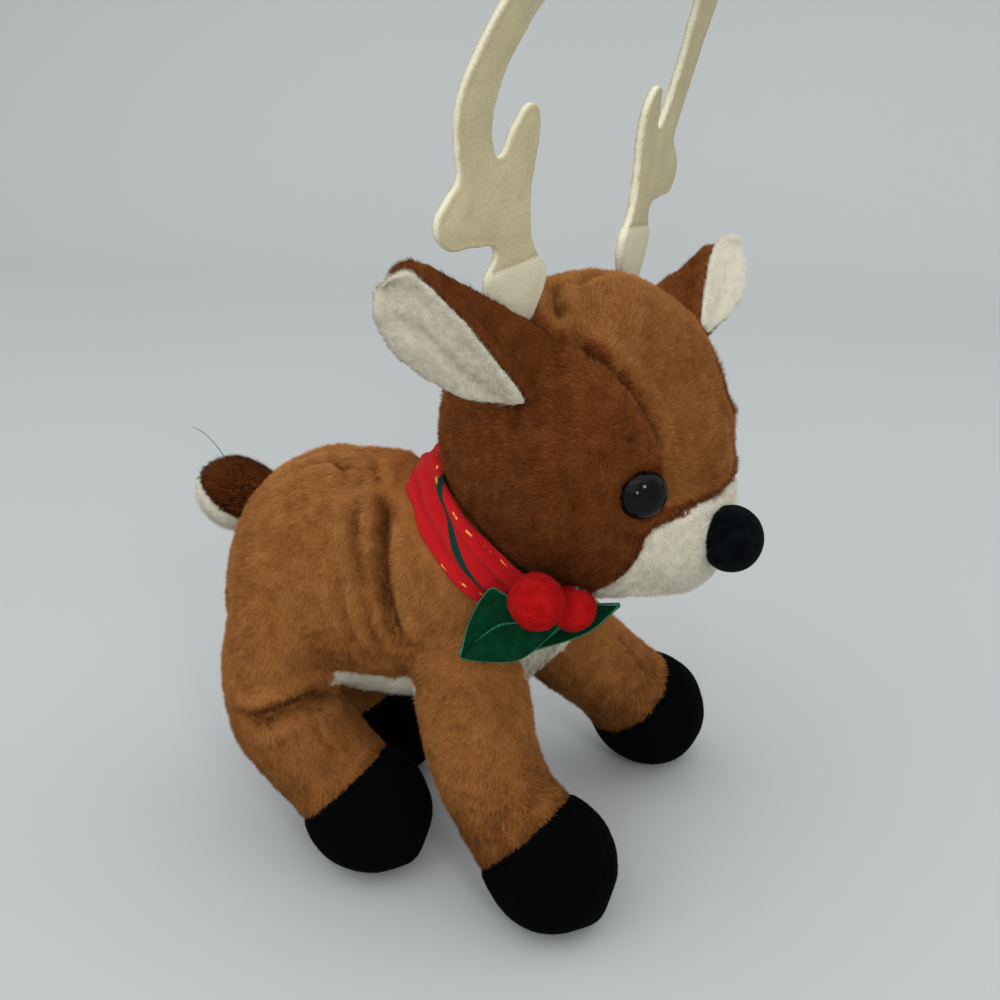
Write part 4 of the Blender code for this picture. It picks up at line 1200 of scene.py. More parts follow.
@dataclass
class Body:
    """The torso and legs: one stuffed skin, its pile, and four velvet hooves."""

    voxel: float = 1.5
    evening: tuple[int, int] = (10, 24)
    sunk: float = 0.5
    boot_rise: float = 0.9
    back_seam: float = 0.45
    ankle_seam: float = 0.55
    ankle_rise: float = 0.3
    boot_seam: float = 0.35
    floor_gap: float = 0.15
    bend_from: float = 21.0
    bend_to: float = 42.0
    stations: Rows = (
        (-75.2, 0, 83.6, 4.0, 5.0), (-74.0, 0, 83.68, 9.6, 11.28), (-69.63, 0, 84.18, 22.24, 24.76),
        (-58.19, 0, 84.58, 29.44, 33.8), (-40.5, 0, 84.93, 31.76, 37.32), (-19.12, 0, 85.46, 31.88, 37.72),
        (0.19, 0, 88.72, 30.76, 36.53), (8.5, 0, 101.37, 27.88, 28.95), (15.0, 0, 110.57, 24.6, 24.32),
        (20.06, 0, 116.69, 19.2, 18.33),
    )
    tilts: Sequence[float] = (-8, -8, -6, -3, 0, 9, 33, 50, 50, 50)
    belly: Rows = ((-66, 0), (-46, 23), (-22, 30.5), (10, 28.5), (34, 18), (50, 11.7))
    belly_top: Rows = ((0.0, 65.0), (22.0, 85.0))
    bib_from: float = 67.0
    legs: Sequence[Leg] = field(default_factory=lambda: (
        Leg("front_right", (3.0, -19.84, 74.0), (
            (1.34, -14.36, 88.38, 5.28), (1.82, -15.95, 84.2, 11.63), (3.08, -20.11, 73.3, 15.92),
            (5.2, -26.06, 57.7, 16.44), (9.33, -31.32, 43.89, 15.98), (15.48, -35.32, 33.4, 15.46),
            (22.26, -38.0, 26.36, 15.98), (27.81, -40.02, 21.07, 18.52), (34.42, -42.43, 14.76, 18.0),
            (40.57, -44.66, 8.89, 12.97), (43.97, -45.9, 5.65, 5.32),
        ), (22.52, -38.1, 26.11), (0.6997, -0.2545, -0.6676), 2.3),
        Leg("front_left", (3.0, 19.84, 74.0), (
            (-6.49, 14.96, 85.21, 5.28), (-3.73, 16.38, 81.95, 11.63), (3.56, 20.13, 73.34, 15.92),
            (14.75, 25.88, 60.13, 16.44), (26.09, 31.65, 46.88, 15.98), (34.94, 35.87, 37.18, 15.46),
            (42.77, 40.05, 27.58, 15.98), (47.73, 42.76, 21.35, 18.52), (53.31, 45.81, 14.35, 18.0),
            (58.49, 48.64, 7.85, 12.97), (61.36, 50.2, 4.25, 5.32),
        ), (43.27, 40.33, 26.94), (0.59, 0.3222, -0.7403), 1.6),
        Leg("rear_right", (-53.0, -19.2, 77.88), (
            (-49.64, -16.99, 92.82, 5.28), (-50.62, -17.63, 88.48, 11.63), (-53.18, -19.32, 77.09, 15.92),
            (-56.12, -21.78, 60.44, 16.56), (-53.31, -23.93, 45.96, 16.87), (-45.37, -25.38, 36.21, 16.45),
            (-36.51, -26.72, 27.16, 16.12), (-30.68, -27.6, 21.23, 18.52), (-24.09, -28.59, 14.52, 18.0),
            (-17.97, -29.51, 8.29, 12.97), (-14.58, -30.02, 4.84, 5.32),
        ), (-35.94, -26.8, 26.59), (0.6969, -0.1051, -0.7094), 0.8),
        Leg("rear_left", (-53.0, 19.2, 77.88), (
            (-50.8, 18.74, 93.19, 5.28), (-51.44, 18.87, 88.74, 11.63), (-53.11, 19.22, 77.12, 15.92),
            (-55.0, 19.73, 60.44, 16.56), (-53.2, 20.17, 45.96, 16.87), (-48.24, 20.46, 36.41, 16.45),
            (-43.23, 20.7, 28.4, 16.12), (-39.05, 20.9, 21.76, 18.52), (-34.02, 21.14, 13.76, 18.0),
            (-29.34, 21.37, 6.32, 12.97), (-26.76, 21.49, 2.21, 5.32),
        ), (-43.07, 20.71, 28.15), (0.5321, 0.0257, -0.8463)),
    ))
    folds: Sequence[Fold] = (
        Fold(((361, 490), (358, 508), (358, 540), (363, 585), (371, 625), (385, 655)), 2.1, 3.2, 1.2),
        Fold(((390, 484), (386, 508), (382, 540), (382, 575), (389, 614), (404, 652)), 2.7, 5.4, 1.8),
        Fold(((338, 570), (343, 596), (350, 622), (361, 650)), 2.2, 1.4, 0.5),
        Fold(((238, 716), (262, 718), (291, 707), (318, 695), (342, 686)), 2.6, 4.6, 1.5),
        Fold(((296, 472), (310, 466), (327, 463), (346, 467), (368, 468), (388, 463)), 1.4, 1.3, 0.8, False),
        Fold(((330, 455), (341, 468), (349, 484)), 1.3, 1.9, 0.5, False),
        Fold(((370, 458), (379, 470), (384, 486)), 1.3, 1.7, 0.5, False),
        Fold(((398, 655), (404, 672), (410, 694)), 1.8, 1.2, 0.4),
        Fold(((312, 716), (322, 738), (340, 757)), 1.0, 0.9, 0.5),
        Fold(((612, 633), (631, 652), (648, 676)), 1.2, 1.1, 0.5, False),
    )
    swells: Sequence[Swell] = (
        Swell((424, 540), 10.0, 1.9), Swell((438, 610), 13.0, 2.0), Swell((300, 590), 22.0, 1.2),
        Swell((334, 452), 6.0, 1.6, False), Swell((372, 455), 6.0, 0.8, False),
        Swell((354, 449), 3.5, -0.8, False), Swell((270, 690), 12.0, 1.2), Swell((290, 740), 10.0, 1.0),
    )

    def on_belly(self, points: Array) -> Array:
        """Where the cream belly panel is, which narrows to a bib in front.

        Args:
            points: places on the skin.

        Returns:
            1 on the panel and 0 elsewhere.
        """
        away, half = np.asarray(self.belly, float).T
        local = points - STANDING
        edge = np.interp(local[:, 0], away, half, left=0.0, right=0.0)
        edge = edge - 0.8 * np.maximum(0.0, self.bib_from - points[:, 2]) * smoothstep(8.0, 22.0, local[:, 0])
        edge = np.where(edge > 0.8, edge + 0.4 * ripple(points, 3.0, 40), -1.0)
        where, tops = np.asarray(self.belly_top, float).T
        under = points[:, 2] < np.interp(local[:, 0], where, tops)
        return ((np.abs(local[:, 1]) < edge) & under).astype(float)

    def skin(self) -> Skin:
        """The torso and legs melted together, relaxed, most of all where they join, and folded.

        Returns:
            the whole skin.
        """
        rows = np.asarray(self.stations, float)
        rows[:, :3] += STANDING
        forms = [loft(rows, 60, 48, self.tilts)] + [leg.form() for leg in self.legs]
        skin = Skin("body", forms, self.voxel)
        skin.relax(self.evening[0])
        points = skin.points
        joins = np.zeros(len(points))
        for leg in self.legs:
            below = (np.asarray(leg.hip) + STANDING - points)[:, 2]
            joins = np.maximum(joins, bell(leg.reach(points) - 1.05, 0.25) * bell(below - 16, 16))
        skin.relax(self.evening[1], joins)
        boots = np.zeros(len(skin.points))
        for leg in self.legs:
            over = smoothstep(-1.0, 3.0, leg.past(skin.points))
            boots = np.maximum(boots, (leg.reach(skin.points) < 1.4) * over)
        broad, fine = ripple(skin.points, 16.0, 50), ripple(skin.points, 6.0, 51)
        skin.push(0.4 * broad + 0.25 * fine - self.sunk + self.boot_rise * boots)
        mirror = mirrored_plane(STANDING, LEFTWARD)
        skin.swell(self.swells, mirror)
        skin.fold(self.folds, mirror)
        self.seam(skin)
        skin.relax(1)
        skin.points[:, 2] = np.maximum(skin.points[:, 2], self.floor_gap)
        return skin

    def seam(self, skin: Skin) -> None:
        """Draws in the back's seam, the ankles' seams and the hooves' own seams.

        Args:
            skin: the body's skin, which is changed.
        """
        points = skin.points
        local = points - STANDING
        back = bell(local[:, 1], 0.9) * (skin.normals()[:, 2] > 0.2) * (local[:, 0] < 5)
        amount = -self.back_seam * back
        for leg in self.legs:
            past = leg.past(points)
            near = leg.reach(points) < 1.35
            amount -= self.ankle_seam * bell(past, 0.8) * near
            amount += self.ankle_rise * (past < -0.5) * bell(past + 2.2, 1.6) * near
            front = leg.past(points, np.cross(leg.toe, LEFTWARD)) > 0
            amount -= self.boot_seam * bell(leg.past(points, LEFTWARD), 0.6) * near * (past > 0) * front
        skin.push(amount)

    def build(self) -> None:
        """Makes the skin's pieces, their pile and the hooves."""
        skin = self.skin()
        points = skin.points
        taken = np.zeros(len(points), bool)
        for number, leg in enumerate(self.legs):
            hip = np.asarray(leg.hip) + STANDING
            low = (hip - points)[:, 2] > self.bend_from
            near = (leg.reach(points) < 1.3) & low & ~taken
            for other in self.legs:
                if other is not leg:
                    near &= leg.reach(points) <= other.reach(points)
            self.build_leg(skin.part(near), leg, hip, number)
            taken |= near
        rest = skin.rest_of(taken)
        belly = self.on_belly(rest.points)[:, None]
        tint = belly * np.array(CREAM_GROUND) + (1 - belly) * np.array(CARAMEL_GROUND)
        obj = rest.build("body_skin", SKIN_TINTED, tint)
        nodes = ("body_panel_left", "body_panel_right", "belly_panel", "body_filling")
        declare(obj, "torso", "caramel_plush", nodes)
        comb = combed((-0.45, 0.2, -0.88), 0.4)
        middle = STANDING[1]
        bare = Scarf().clear_of
        for side in Side:
            def half(root: Array, side: Side = side) -> Array:
                """1 on one side's body panel, clear of the scarf."""
                return bare(root) * (1 - self.on_belly(root)) * ((root[:, 1] - middle) * side.value >= 0)

            name = f"body_pile_{side.word}"
            Pile(CARAMEL).plant(name, rest, comb, half, 100 + side.value, "torso", "caramel_plush")

        def chest(root: Array) -> Array:
            """1 on the belly panel, clear of the scarf."""
            return bare(root) * self.on_belly(root)

        comb = combed((-1.0, 0.0, 0.0), 0.5)
        Pile(CREAM).plant("belly_pile", rest, comb, chest, 103, "torso", "cream_plush")

    def build_leg(self, whole: SkinPart, leg: Leg, hip: Array, number: int) -> None:
        """One leg's cloth, hoof and pile.

        Args:
            whole: the part of the body's skin that is the leg's.
            leg: the leg.
            hip: the hinge's place.
            number: the leg's number, for its random values.
        """
        over = smoothstep(-0.4, 0.4, leg.past(whole.points))[:, None]
        tint = over * np.array(NIGHT_GROUND) + (1 - over) * np.array(CARAMEL_GROUND)
        body = f"leg_{leg.name}"
        start, end = (tuple((hip + DOWN * below) * MM) for below in (self.bend_from, self.bend_to))
        obj = whole.build(f"leg_skin_{leg.name}", SKIN_TINTED, tint)
        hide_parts(f"leg_{leg.name}", f"hoof_{leg.name}", f"leg_filling_{leg.name}")
        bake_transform(obj)
        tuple(start)
        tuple(end)
        # Painted shade: the leg's pile gets darker toward the hoof.
        whole.hollow = whole.hollow - leg.dim * smoothstep(27.0, 3.0, -leg.past(whole.points))

        def cloth(root: Array) -> Array:
            """1 above the ankle's seam."""
            return (leg.past(root) + 0.3 * ripple(root, 2.0, 61) < 0.2).astype(float)

        def boot(root: Array) -> Array:
            """1 below it."""
            return 1 - cloth(root)

        way = DOWN * 0.8 + np.asarray(leg.toe) * 0.25
        comb = combed(way, 0.5, 8 + number)
        pile = Pile(CARAMEL).grow(f"leg_pile_{leg.name}", whole, comb, cloth, 110 + number)
        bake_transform(pile)
        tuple(start)
        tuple(end)
        nap = Pile(NIGHT, length=0.7, width=0.15, density=9.0, tip_over=0.7, tuft=1.2)
        comb = combed(way, 0.6, 18 + number)
        nap.plant(f"hoof_pile_{leg.name}", whole, comb, boot, 120 + number, body, "black_velvet")
        LOG.info("leg %s, %d faces", leg.name, len(whole.faces))


# The head


SEAM_SPOTS: Spots = ((584, 348), (616, 372), (640, 400), (655, 430), (661, 458))
MUZZLE_SPOTS: Spots = (
    (731, 489), (704, 501), (680, 513), (656, 526), (645, 538), (638, 558), (620, 578), (590, 594),
)


@dataclass
class Head:
    """The head: its stuffed skin, three colours of pile, eyes, nose and what holds them."""

    matrix: Rows = (
        (0.913545, 0.406737, 0.0, 37.09), (-0.406737, 0.913545, 0.0, -3.8), (0.0, 0.0, 1.0, 133.534),
    )
    stations: Rows = (
        (-42.6, 0, -0.9, 4.5, 5.0), (-41.55, 0, -0.92, 10.66, 11.5), (-36.45, 0, -0.86, 24.91, 27.14),
        (-24.02, 0, -0.46, 35.36, 39.22), (-6.53, 0, -0.17, 40.23, 45.08), (9.62, 0, -1.15, 39.21, 43.87),
        (20.81, 0, -4.31, 33.72, 36.92), (29.02, 0, -11.5, 25.88, 27.2), (35.27, 0, -18.57, 17.78, 17.48),
        (38.7, 0, -20.75, 8.2, 7.82), (39.4, 0, -20.9, 3.5, 3.5),
    )
    voxel: float = 1.3
    folds: Sequence[Fold] = (
        Fold(((560, 330), *SEAM_SPOTS, (664, 476)), 1.8, 2.3, 1.0),
        Fold(MUZZLE_SPOTS, 1.2, 0.8, 0.3),
        Fold(((520, 400), (517, 412), (514, 432)), 1.9, 1.7, 0.3),
        Fold(((562, 324), (552, 302), (556, 286)), 2.1, 2.2, 0.8),
        Fold(((572, 292), (590, 280), (612, 276)), 1.9, 1.4, 1.2, False),
        Fold(((566, 338), (560, 352), (556, 372)), 1.6, 1.2, 0.6),
        Fold(((634, 586), (646, 590), (658, 588)), 1.4, 1.7, 0.7, False),
        Fold(((655, 588), (690, 586), (712, 578)), 1.1, 0.7, 0.3, False),
    )
    swells: Sequence[Swell] = (
        Swell((700, 452), 9.0, 1.6), Swell((652, 466), 6.0, 1.3), Swell((600, 420), 16.0, 1.2),
        Swell((560, 540), 18.0, 0.8), Swell((620, 560), 9.0, 0.4), Swell((690, 550), 9.0, 0.7),
    )
    sunk: float = 0.6
    brow: float = 0.5
    cheek: float = 0.45
    eye_bed: float = 1.3
    eye_rim: float = 0.9
    far_seam: float = 3.2
    nape: Spots = ((-45.0, 8.0), (-26.0, 13.0))
    nose_shape: Sequence[float] = (1.12, 1.06, 1.04)
    eye_radius: float = 6.5
    eye_height: float = 4.6
    nose_radius: float = 8.1
    eyes: dict[str, Rows] = field(default_factory=lambda: {
        "left": (
            (0.06555, -0.34202, 0.937404, 68.9), (0.023858, 0.939693, 0.341187, 8.9),
            (-0.997564, 0.0, 0.069757, 131.55),
        ),
        "right": (
            (0.026131, 0.927184, 0.373694, 53.3), (-0.064677, 0.374607, -0.924925, -37.9),
            (-0.997564, 0.0, 0.069757, 131.5),
        ),
    })
    nose: Rows = (
        (0.0, 0.406737, 0.913545, 76.062), (0.0, 0.913545, -0.406737, -21.151), (-1.0, 0.0, 0.0, 113.754),
    )

    def inward(self, points: Array) -> Array:
        """Places in the head's own frame: ahead, left and up."""
        matrix = np.asarray(self.matrix, float)
        return (points - matrix[:, 3]) @ matrix[:, :3]

    def way(self, ahead: float, left: float, up: float) -> Array:
        """A way of the head's own frame in the whole toy's."""
        return np.asarray(self.matrix, float)[:, :3] @ np.array([ahead, left, up])

    def skin(self) -> Skin:
        """The head's skin with its seams, eye beds and mouth.

        Returns:
            the whole skin.
        """
        points, faces = loft(self.stations, 56, 44, [0.0] * len(self.stations))
        skin = Skin("head", [(placed(points, self.matrix), faces)], self.voxel)
        skin.relax(8)
        local = self.inward(skin.points)
        brow = bell(local[:, 0] - 22, 9) * bell(local[:, 2] - 10, 10)
        cheek = bell(local[:, 0] - 16, 12) * bell(local[:, 2] + 22, 11)
        broad, fine = ripple(skin.points, 18.0, 52), ripple(skin.points, 6.0, 53)
        skin.push(0.4 * broad + 0.2 * fine - self.sunk + self.brow * brow + self.cheek * cheek)
        aside = self.way(0.0, self.far_seam / 2, 0.0)
        mirror = mirrored_plane(np.asarray(self.matrix)[:, 3] + aside, self.way(0.0, 1.0, 0.0))
        skin.swell(self.swells, mirror)
        skin.fold(self.folds, mirror)
        for matrix in self.eyes.values():
            away = np.linalg.norm(skin.points - np.asarray(matrix)[:, 3], axis=1)
            skin.push(-self.eye_bed * bell(away, 6.2, 4) + self.eye_rim * bell(away - 8.6, 2.2))
        skin.relax(1)
        return skin

    def panels(self, skin: Skin) -> tuple[Places, Places]:
        """Masks of the cream muzzle and of the forehead, from their seams.

        Args:
            skin: the head's skin.

        Returns:
            two functions from places to 0 or 1.
        """
        muzzle = self.inward(skin.seen(MUZZLE_SPOTS))
        order = np.argsort(muzzle[:, 2])
        heights, fronts = muzzle[order, 2], muzzle[order, 0]
        seam = self.inward(skin.seen(((556, 330), *SEAM_SPOTS, (664, 478))))
        places = seam[np.argsort(seam[:, 0])]
        nape = np.asarray(self.nape)
        ahead = np.concatenate([nape[:, 0], places[:, 0]])
        halves = np.concatenate([nape[:, 1], np.abs(places[:, 1])])

        def is_muzzle(points: Array) -> Array:
            """1 ahead of the muzzle's seam."""
            local = self.inward(points)
            edge = np.interp(local[:, 2], heights, fronts) + 0.35 * ripple(points, 2.0, 62)
            return ((local[:, 0] > edge) & (local[:, 2] < heights[-1] + 0.4)).astype(float)

        def is_forehead(points: Array) -> Array:
            """1 between the two seams, from the nape to the muzzle."""
            local = self.inward(points)
            half = np.interp(local[:, 0], ahead, halves) + 0.4 * ripple(points, 2.0, 63)
            half = half + self.far_seam * (local[:, 1] > 0) * smoothstep(-20.0, 5.0, local[:, 0])
            top = local[:, 2] > np.where(local[:, 0] > 0, -6.0, -22.0)
            return ((np.abs(local[:, 1]) < half) & top & (is_muzzle(points) < 0.5)).astype(float)

        return is_muzzle, is_forehead

    def build(self) -> None:
        """Makes the head with its pile, eyes and nose."""
        skin = self.skin()
        is_muzzle, is_forehead = self.panels(skin)
        whole = skin.whole()
        cream = is_muzzle(whole.points)[:, None]
        crown = is_forehead(whole.points)[:, None]
        hide = crown * np.array(FOREHEAD_GROUND) + (1 - crown) * np.array(BROWN_GROUND)
        tint = cream * np.array(CREAM_GROUND) + (1 - cream) * hide
        obj = whole.build("head_skin", SKIN_TINTED, tint)
        nodes = ("face_panel_left", "face_panel_right", "forehead_panel", "muzzle_panel", "head_filling")
        declare(obj, "head", "brown_plush", nodes)
        eyes = [np.asarray(matrix)[:, 3] for matrix in self.eyes.values()]
        nose = np.asarray(self.nose)[:, 3]

        def free(points: Array) -> Array:
            """0 under the eyes and the nose."""
            clear = np.linalg.norm(points - nose, axis=1) > self.nose_radius
            for eye in eyes:
                clear &= np.linalg.norm(points - eye, axis=1) > self.eye_radius - 0.3
            return clear.astype(float)

        def crest(root: Array) -> Array:
            """1 on the forehead panel."""
            return free(root) * is_forehead(root)

        def snout(root: Array) -> Array:
            """1 on the muzzle panel."""
            return free(root) * is_muzzle(root)

        comb = combed(self.way(-0.9, 0.0, -0.35), 0.4, 30)
        middle = np.asarray(self.matrix)[:, 3]
        for side in Side:
            out = self.way(0.0, side.value, 0.0)

            def half(root: Array, out: Array = out) -> Array:
                """1 on one side's face panel."""
                face = free(root) * (1 - is_muzzle(root)) * (1 - is_forehead(root))
                return face * ((root - middle) @ out >= 0)

            name = f"face_pile_{side.word}"
            Pile(BROWN, tuft=2.0).plant(name, whole, comb, half, 130 + side.value, "head", "brown_plush")
        comb = combed(self.way(-0.65, 0.75, -0.2), 0.3, 31)
        Pile(FOREHEAD, tuft=2.0).plant("forehead_pile", whole, comb, crest, 133, "head", "forehead_plush")
        comb = combed(self.way(-0.5, 0.6, -0.5), 0.3, 32)
        Pile(CREAM, length=1.6).plant("muzzle_pile", whole, comb, snout, 134, "head", "cream_plush")
        self.build_buttons()

    def build_buttons(self) -> None:
        """The eyes' domes and the nose's ball, as turned surfaces."""
        for word, matrix in self.eyes.items():
            angle = np.linspace(0.03, np.pi / 2, 14)
            wide = self.eye_radius
            radius = np.concatenate([wide * np.sin(angle), [wide, 0.55 * wide]])
            height = np.concatenate([self.eye_height * np.cos(angle), [-1.1, -1.4]])
            points, faces = turned(radius, height, 48)
            eye = mesh_object(f"eye_dome_{word}", placed(points, matrix), faces)
            eye.data.materials.append(EyeGloss("eye_gloss").material())
            declare(eye, "head", "eye_plastic", (f"eye_{word}",))
        angle = np.linspace(0.03, np.pi * 0.93, 30)
        points, faces = turned(self.nose_radius * np.sin(angle), self.nose_radius * np.cos(angle), 48)
        points = points * self.nose_shape
        points = points + 0.12 * unit(points) * wander(points, 3.0, 54)
        part = part_of(placed(points, self.nose), faces, np.asarray(self.nose)[:, 3])
        nose = part.build("nose_ball", Velvet("nose_velvet"))
        declare(nose, "head", "black_velvet", ("nose",))
        nap = Pile(NIGHT, length=0.55, width=0.13, density=10.0, tip_over=0.7, tuft=1.0)
        comb = combed(self.way(-1.0, 0.0, 0.0), 0.5, 33)
        nap.plant("nose_pile", part, comb, None, 135, "head", "black_velvet")


def turned(radius: Array, height: Array, sides: int) -> Form:
    """A profile turned about Z: a point is (radius * cos, radius * sin, height).

    Args:
        radius: the profile's distance from Z.
        height: its place along Z.
        sides: how many points go round.

    Returns:
        points and faces.
    """
    angle = np.linspace(0.0, 2 * np.pi, sides, endpoint=False)
    wide, high = radius[:, None], np.repeat(height[:, None], sides, 1)
    rings = np.stack([wide * np.cos(angle), wide * np.sin(angle), high], axis=2)
    points, faces = tube(rings)
    return points, [group[:, ::-1] for group in faces]


def part_of(points: Array, faces: list[Array], middle: Array) -> SkinPart:
    """A round form as a part of triangles, whose ways out leave its middle.

    Args:
        points: its places.
        faces: its squares and its end triangles.
        middle: its middle.

    Returns:
        the part.
    """
    squares, ends = faces
    triangles = np.concatenate([squares[:, [0, 1, 2]], squares[:, [0, 2, 3]], ends])
    return SkinPart(points, unit(points - middle), triangles)


# Ears, antlers and tail


@dataclass
class Ears:
    """Two ears: a brown back that curls over above and a cream lining with a fold along it.

    Attributes:
        back: the brown layer's place along the ear and its two edges.
        lining: the same for the cream one.
        groove: the fold's line in the lining.
        matrices: each ear's frame: along it, across it and out of its face.
        groove_depth: how deep the fold is.
        thick: each layer's thickness.
        voxel: the size of the skins' squares.
        shares: each ear's length over the drawn one.
        rolls: how far each ear's edge rolls inwards.
    """

    back: Rows = (
        (-8, -7.5, 7.0), (-5, -8.6, 8.0), (0, -9.8, 9.2), (6, -10.3, 11.0), (14.5, -9.9, 13.0),
        (23, -9.6, 13.6), (29, -9.1, 13.3), (35, -8.9, 12.0), (41.7, -8.3, 9.5), (45.3, -7.3, 5.0),
        (46.8, -5.0, 0.0), (47.2, -3.2, -2.2),
    )
    lining: Rows = (
        (0.6, 6.6, 7.4), (2.2, 5.7, 9.6), (7.5, 3.8, 12.2), (12.1, 2.4, 14.0), (17.7, 0.7, 14.8),
        (26.8, -2.0, 14.8), (35.2, -4.0, 13.3), (41.3, -5.0, 10.9), (45.8, -5.3, 7.9), (48.6, -3.0, 4.2),
        (50.0, -0.5, 1.1), (50.2, 0.1, 0.5),
    )
    groove: Rows = (
        (2, 9.6), (6.3, 10.0), (15.5, 9.4), (23.6, 7.6), (32.5, 5.8), (40.4, 5.2), (46, 4.5),
    )
    matrices: dict[str, Rows] = field(default_factory=lambda: {
        "left": ((0.38, -0.906, 0.18, 52.0), (0.82, 0.243, -0.511, 24.4), (0.42, 0.344, 0.835, 161.8)),
        "right": (
            (-0.645501, -0.524029, 0.555628, 26.49), (-0.50432, -0.253893, -0.825348, -35.381),
            (0.573576, -0.812977, -0.100391, 159.295),
        ),
    })
    groove_depth: float = 1.7
    thick: tuple[float, float] = (2.6, 2.4)
    voxel: float = 0.75
    shares: dict[str, float] = field(default_factory=lambda: {"left": 0.76, "right": 1.0})
    rolls: dict[str, float] = field(default_factory=lambda: {"left": 4.5, "right": 0.0})

    def rise(self, along: Array, across: Array, inner: bool) -> Array:
        """The height of a layer's middle over the ear's plane.

        A ridge runs where the two colours meet, and the lining falls from it into its fold: ridge *
        exp(-((w - boundary) / 3)^2) - fold * exp(-((w - groove) / 1.3)^2).

        Args:
            along: places along the ear.
            across: places across it.
            inner: whether the layer is the lining.

        Returns:
            heights in millimetres.
        """
        ridge = bell(across - self.edge(along) + (0.0 if inner else 1.2), 3.0)
        bend = -0.014 * (across - 2.0) ** 2
        if not inner:
            return -3.3 + 4.2 * ridge * smoothstep(50.0, 40.0, along) + bend
        line = np.asarray(self.groove, float)
        middle = np.interp(along, line[:, 0], line[:, 1])
        fade = smoothstep(0.0, 8.0, along) * smoothstep(44.0, 36.0, along)
        return -0.5 + 2.6 * ridge - self.groove_depth * fade * bell(across - middle, 1.3) + bend

    def edge(self, along: Array) -> Array:
        """Where the two colours meet, across the ear."""
        rows = np.asarray(self.lining, float)
        return np.interp(along, rows[:, 0], rows[:, 1])

    def layer(self, rows: Rows, thick: float, inner: bool, side: Side) -> Form:
        """One padded layer in the ear's own frame.

        Args:
            rows: the place along the ear and its two edges.
            thick: its thickness.
            inner: whether it is the lining.
            side: which ear.

        Returns:
            points and faces.
        """
        fine = through(np.asarray(rows, float), 60)
        turn = np.linspace(0.0, 2 * np.pi, 56, endpoint=False)
        half, middle = (fine[:, 2:] - fine[:, 1:2]) / 2, (fine[:, 2:] + fine[:, 1:2]) / 2
        across = middle + half * np.cos(turn)
        face = np.sign(np.sin(turn)) * np.abs(np.sin(turn)) ** 0.6
        along = fine[:, :1] + 0 * across
        rise = self.rise(along, across, inner) + face * thick / 2 * np.minimum(1.0, 0.3 + half / 4)
        flip = -float(side.value)
        across = across + self.rolls[side.word] * bell(across - self.edge(along), 8.0)
        points, faces = tube(np.stack([along * self.shares[side.word], across * flip, rise], axis=2))
        return points, [group[:, ::-1] for group in faces] if flip < 0 else faces

    def build(self) -> None:
        """Makes both ears with their pile."""
        for side in Side:
            matrix = self.matrices[side.word]
            turn = np.asarray(matrix, float)[:, :3]
            layers = (
                ("back", self.back, BROWN, BROWN_GROUND, "brown_plush"),
                ("lining", self.lining, CREAM, CREAM_GROUND, "cream_plush"),
            )
            for number, (kind, rows, strand, ground, slot) in enumerate(layers):
                seed = number + 2 * side.value
                points, faces = self.layer(rows, self.thick[number], kind == "lining", side)
                skin = Skin(f"ear_{kind}_{side.word}", [(placed(points, matrix), faces)], self.voxel)
                skin.relax(3)
                skin.push(0.3 * ripple(skin.points, 5.0, 55 + seed))
                whole = skin.whole()
                obj = whole.build(f"ear_{kind}_skin_{side.word}", Backing(f"ear_{kind}_ground", ground))
                declare(obj, f"ear_{side.word}", slot, (f"ear_{kind}_{side.word}",))
                name = f"ear_{kind}_pile_{side.word}"
                comb = combed(turn[:, 0], 0.4, 34)
                Pile(strand, length=1.5).plant(name, whole, comb, None, 146 + seed, f"ear_{side.word}", slot)


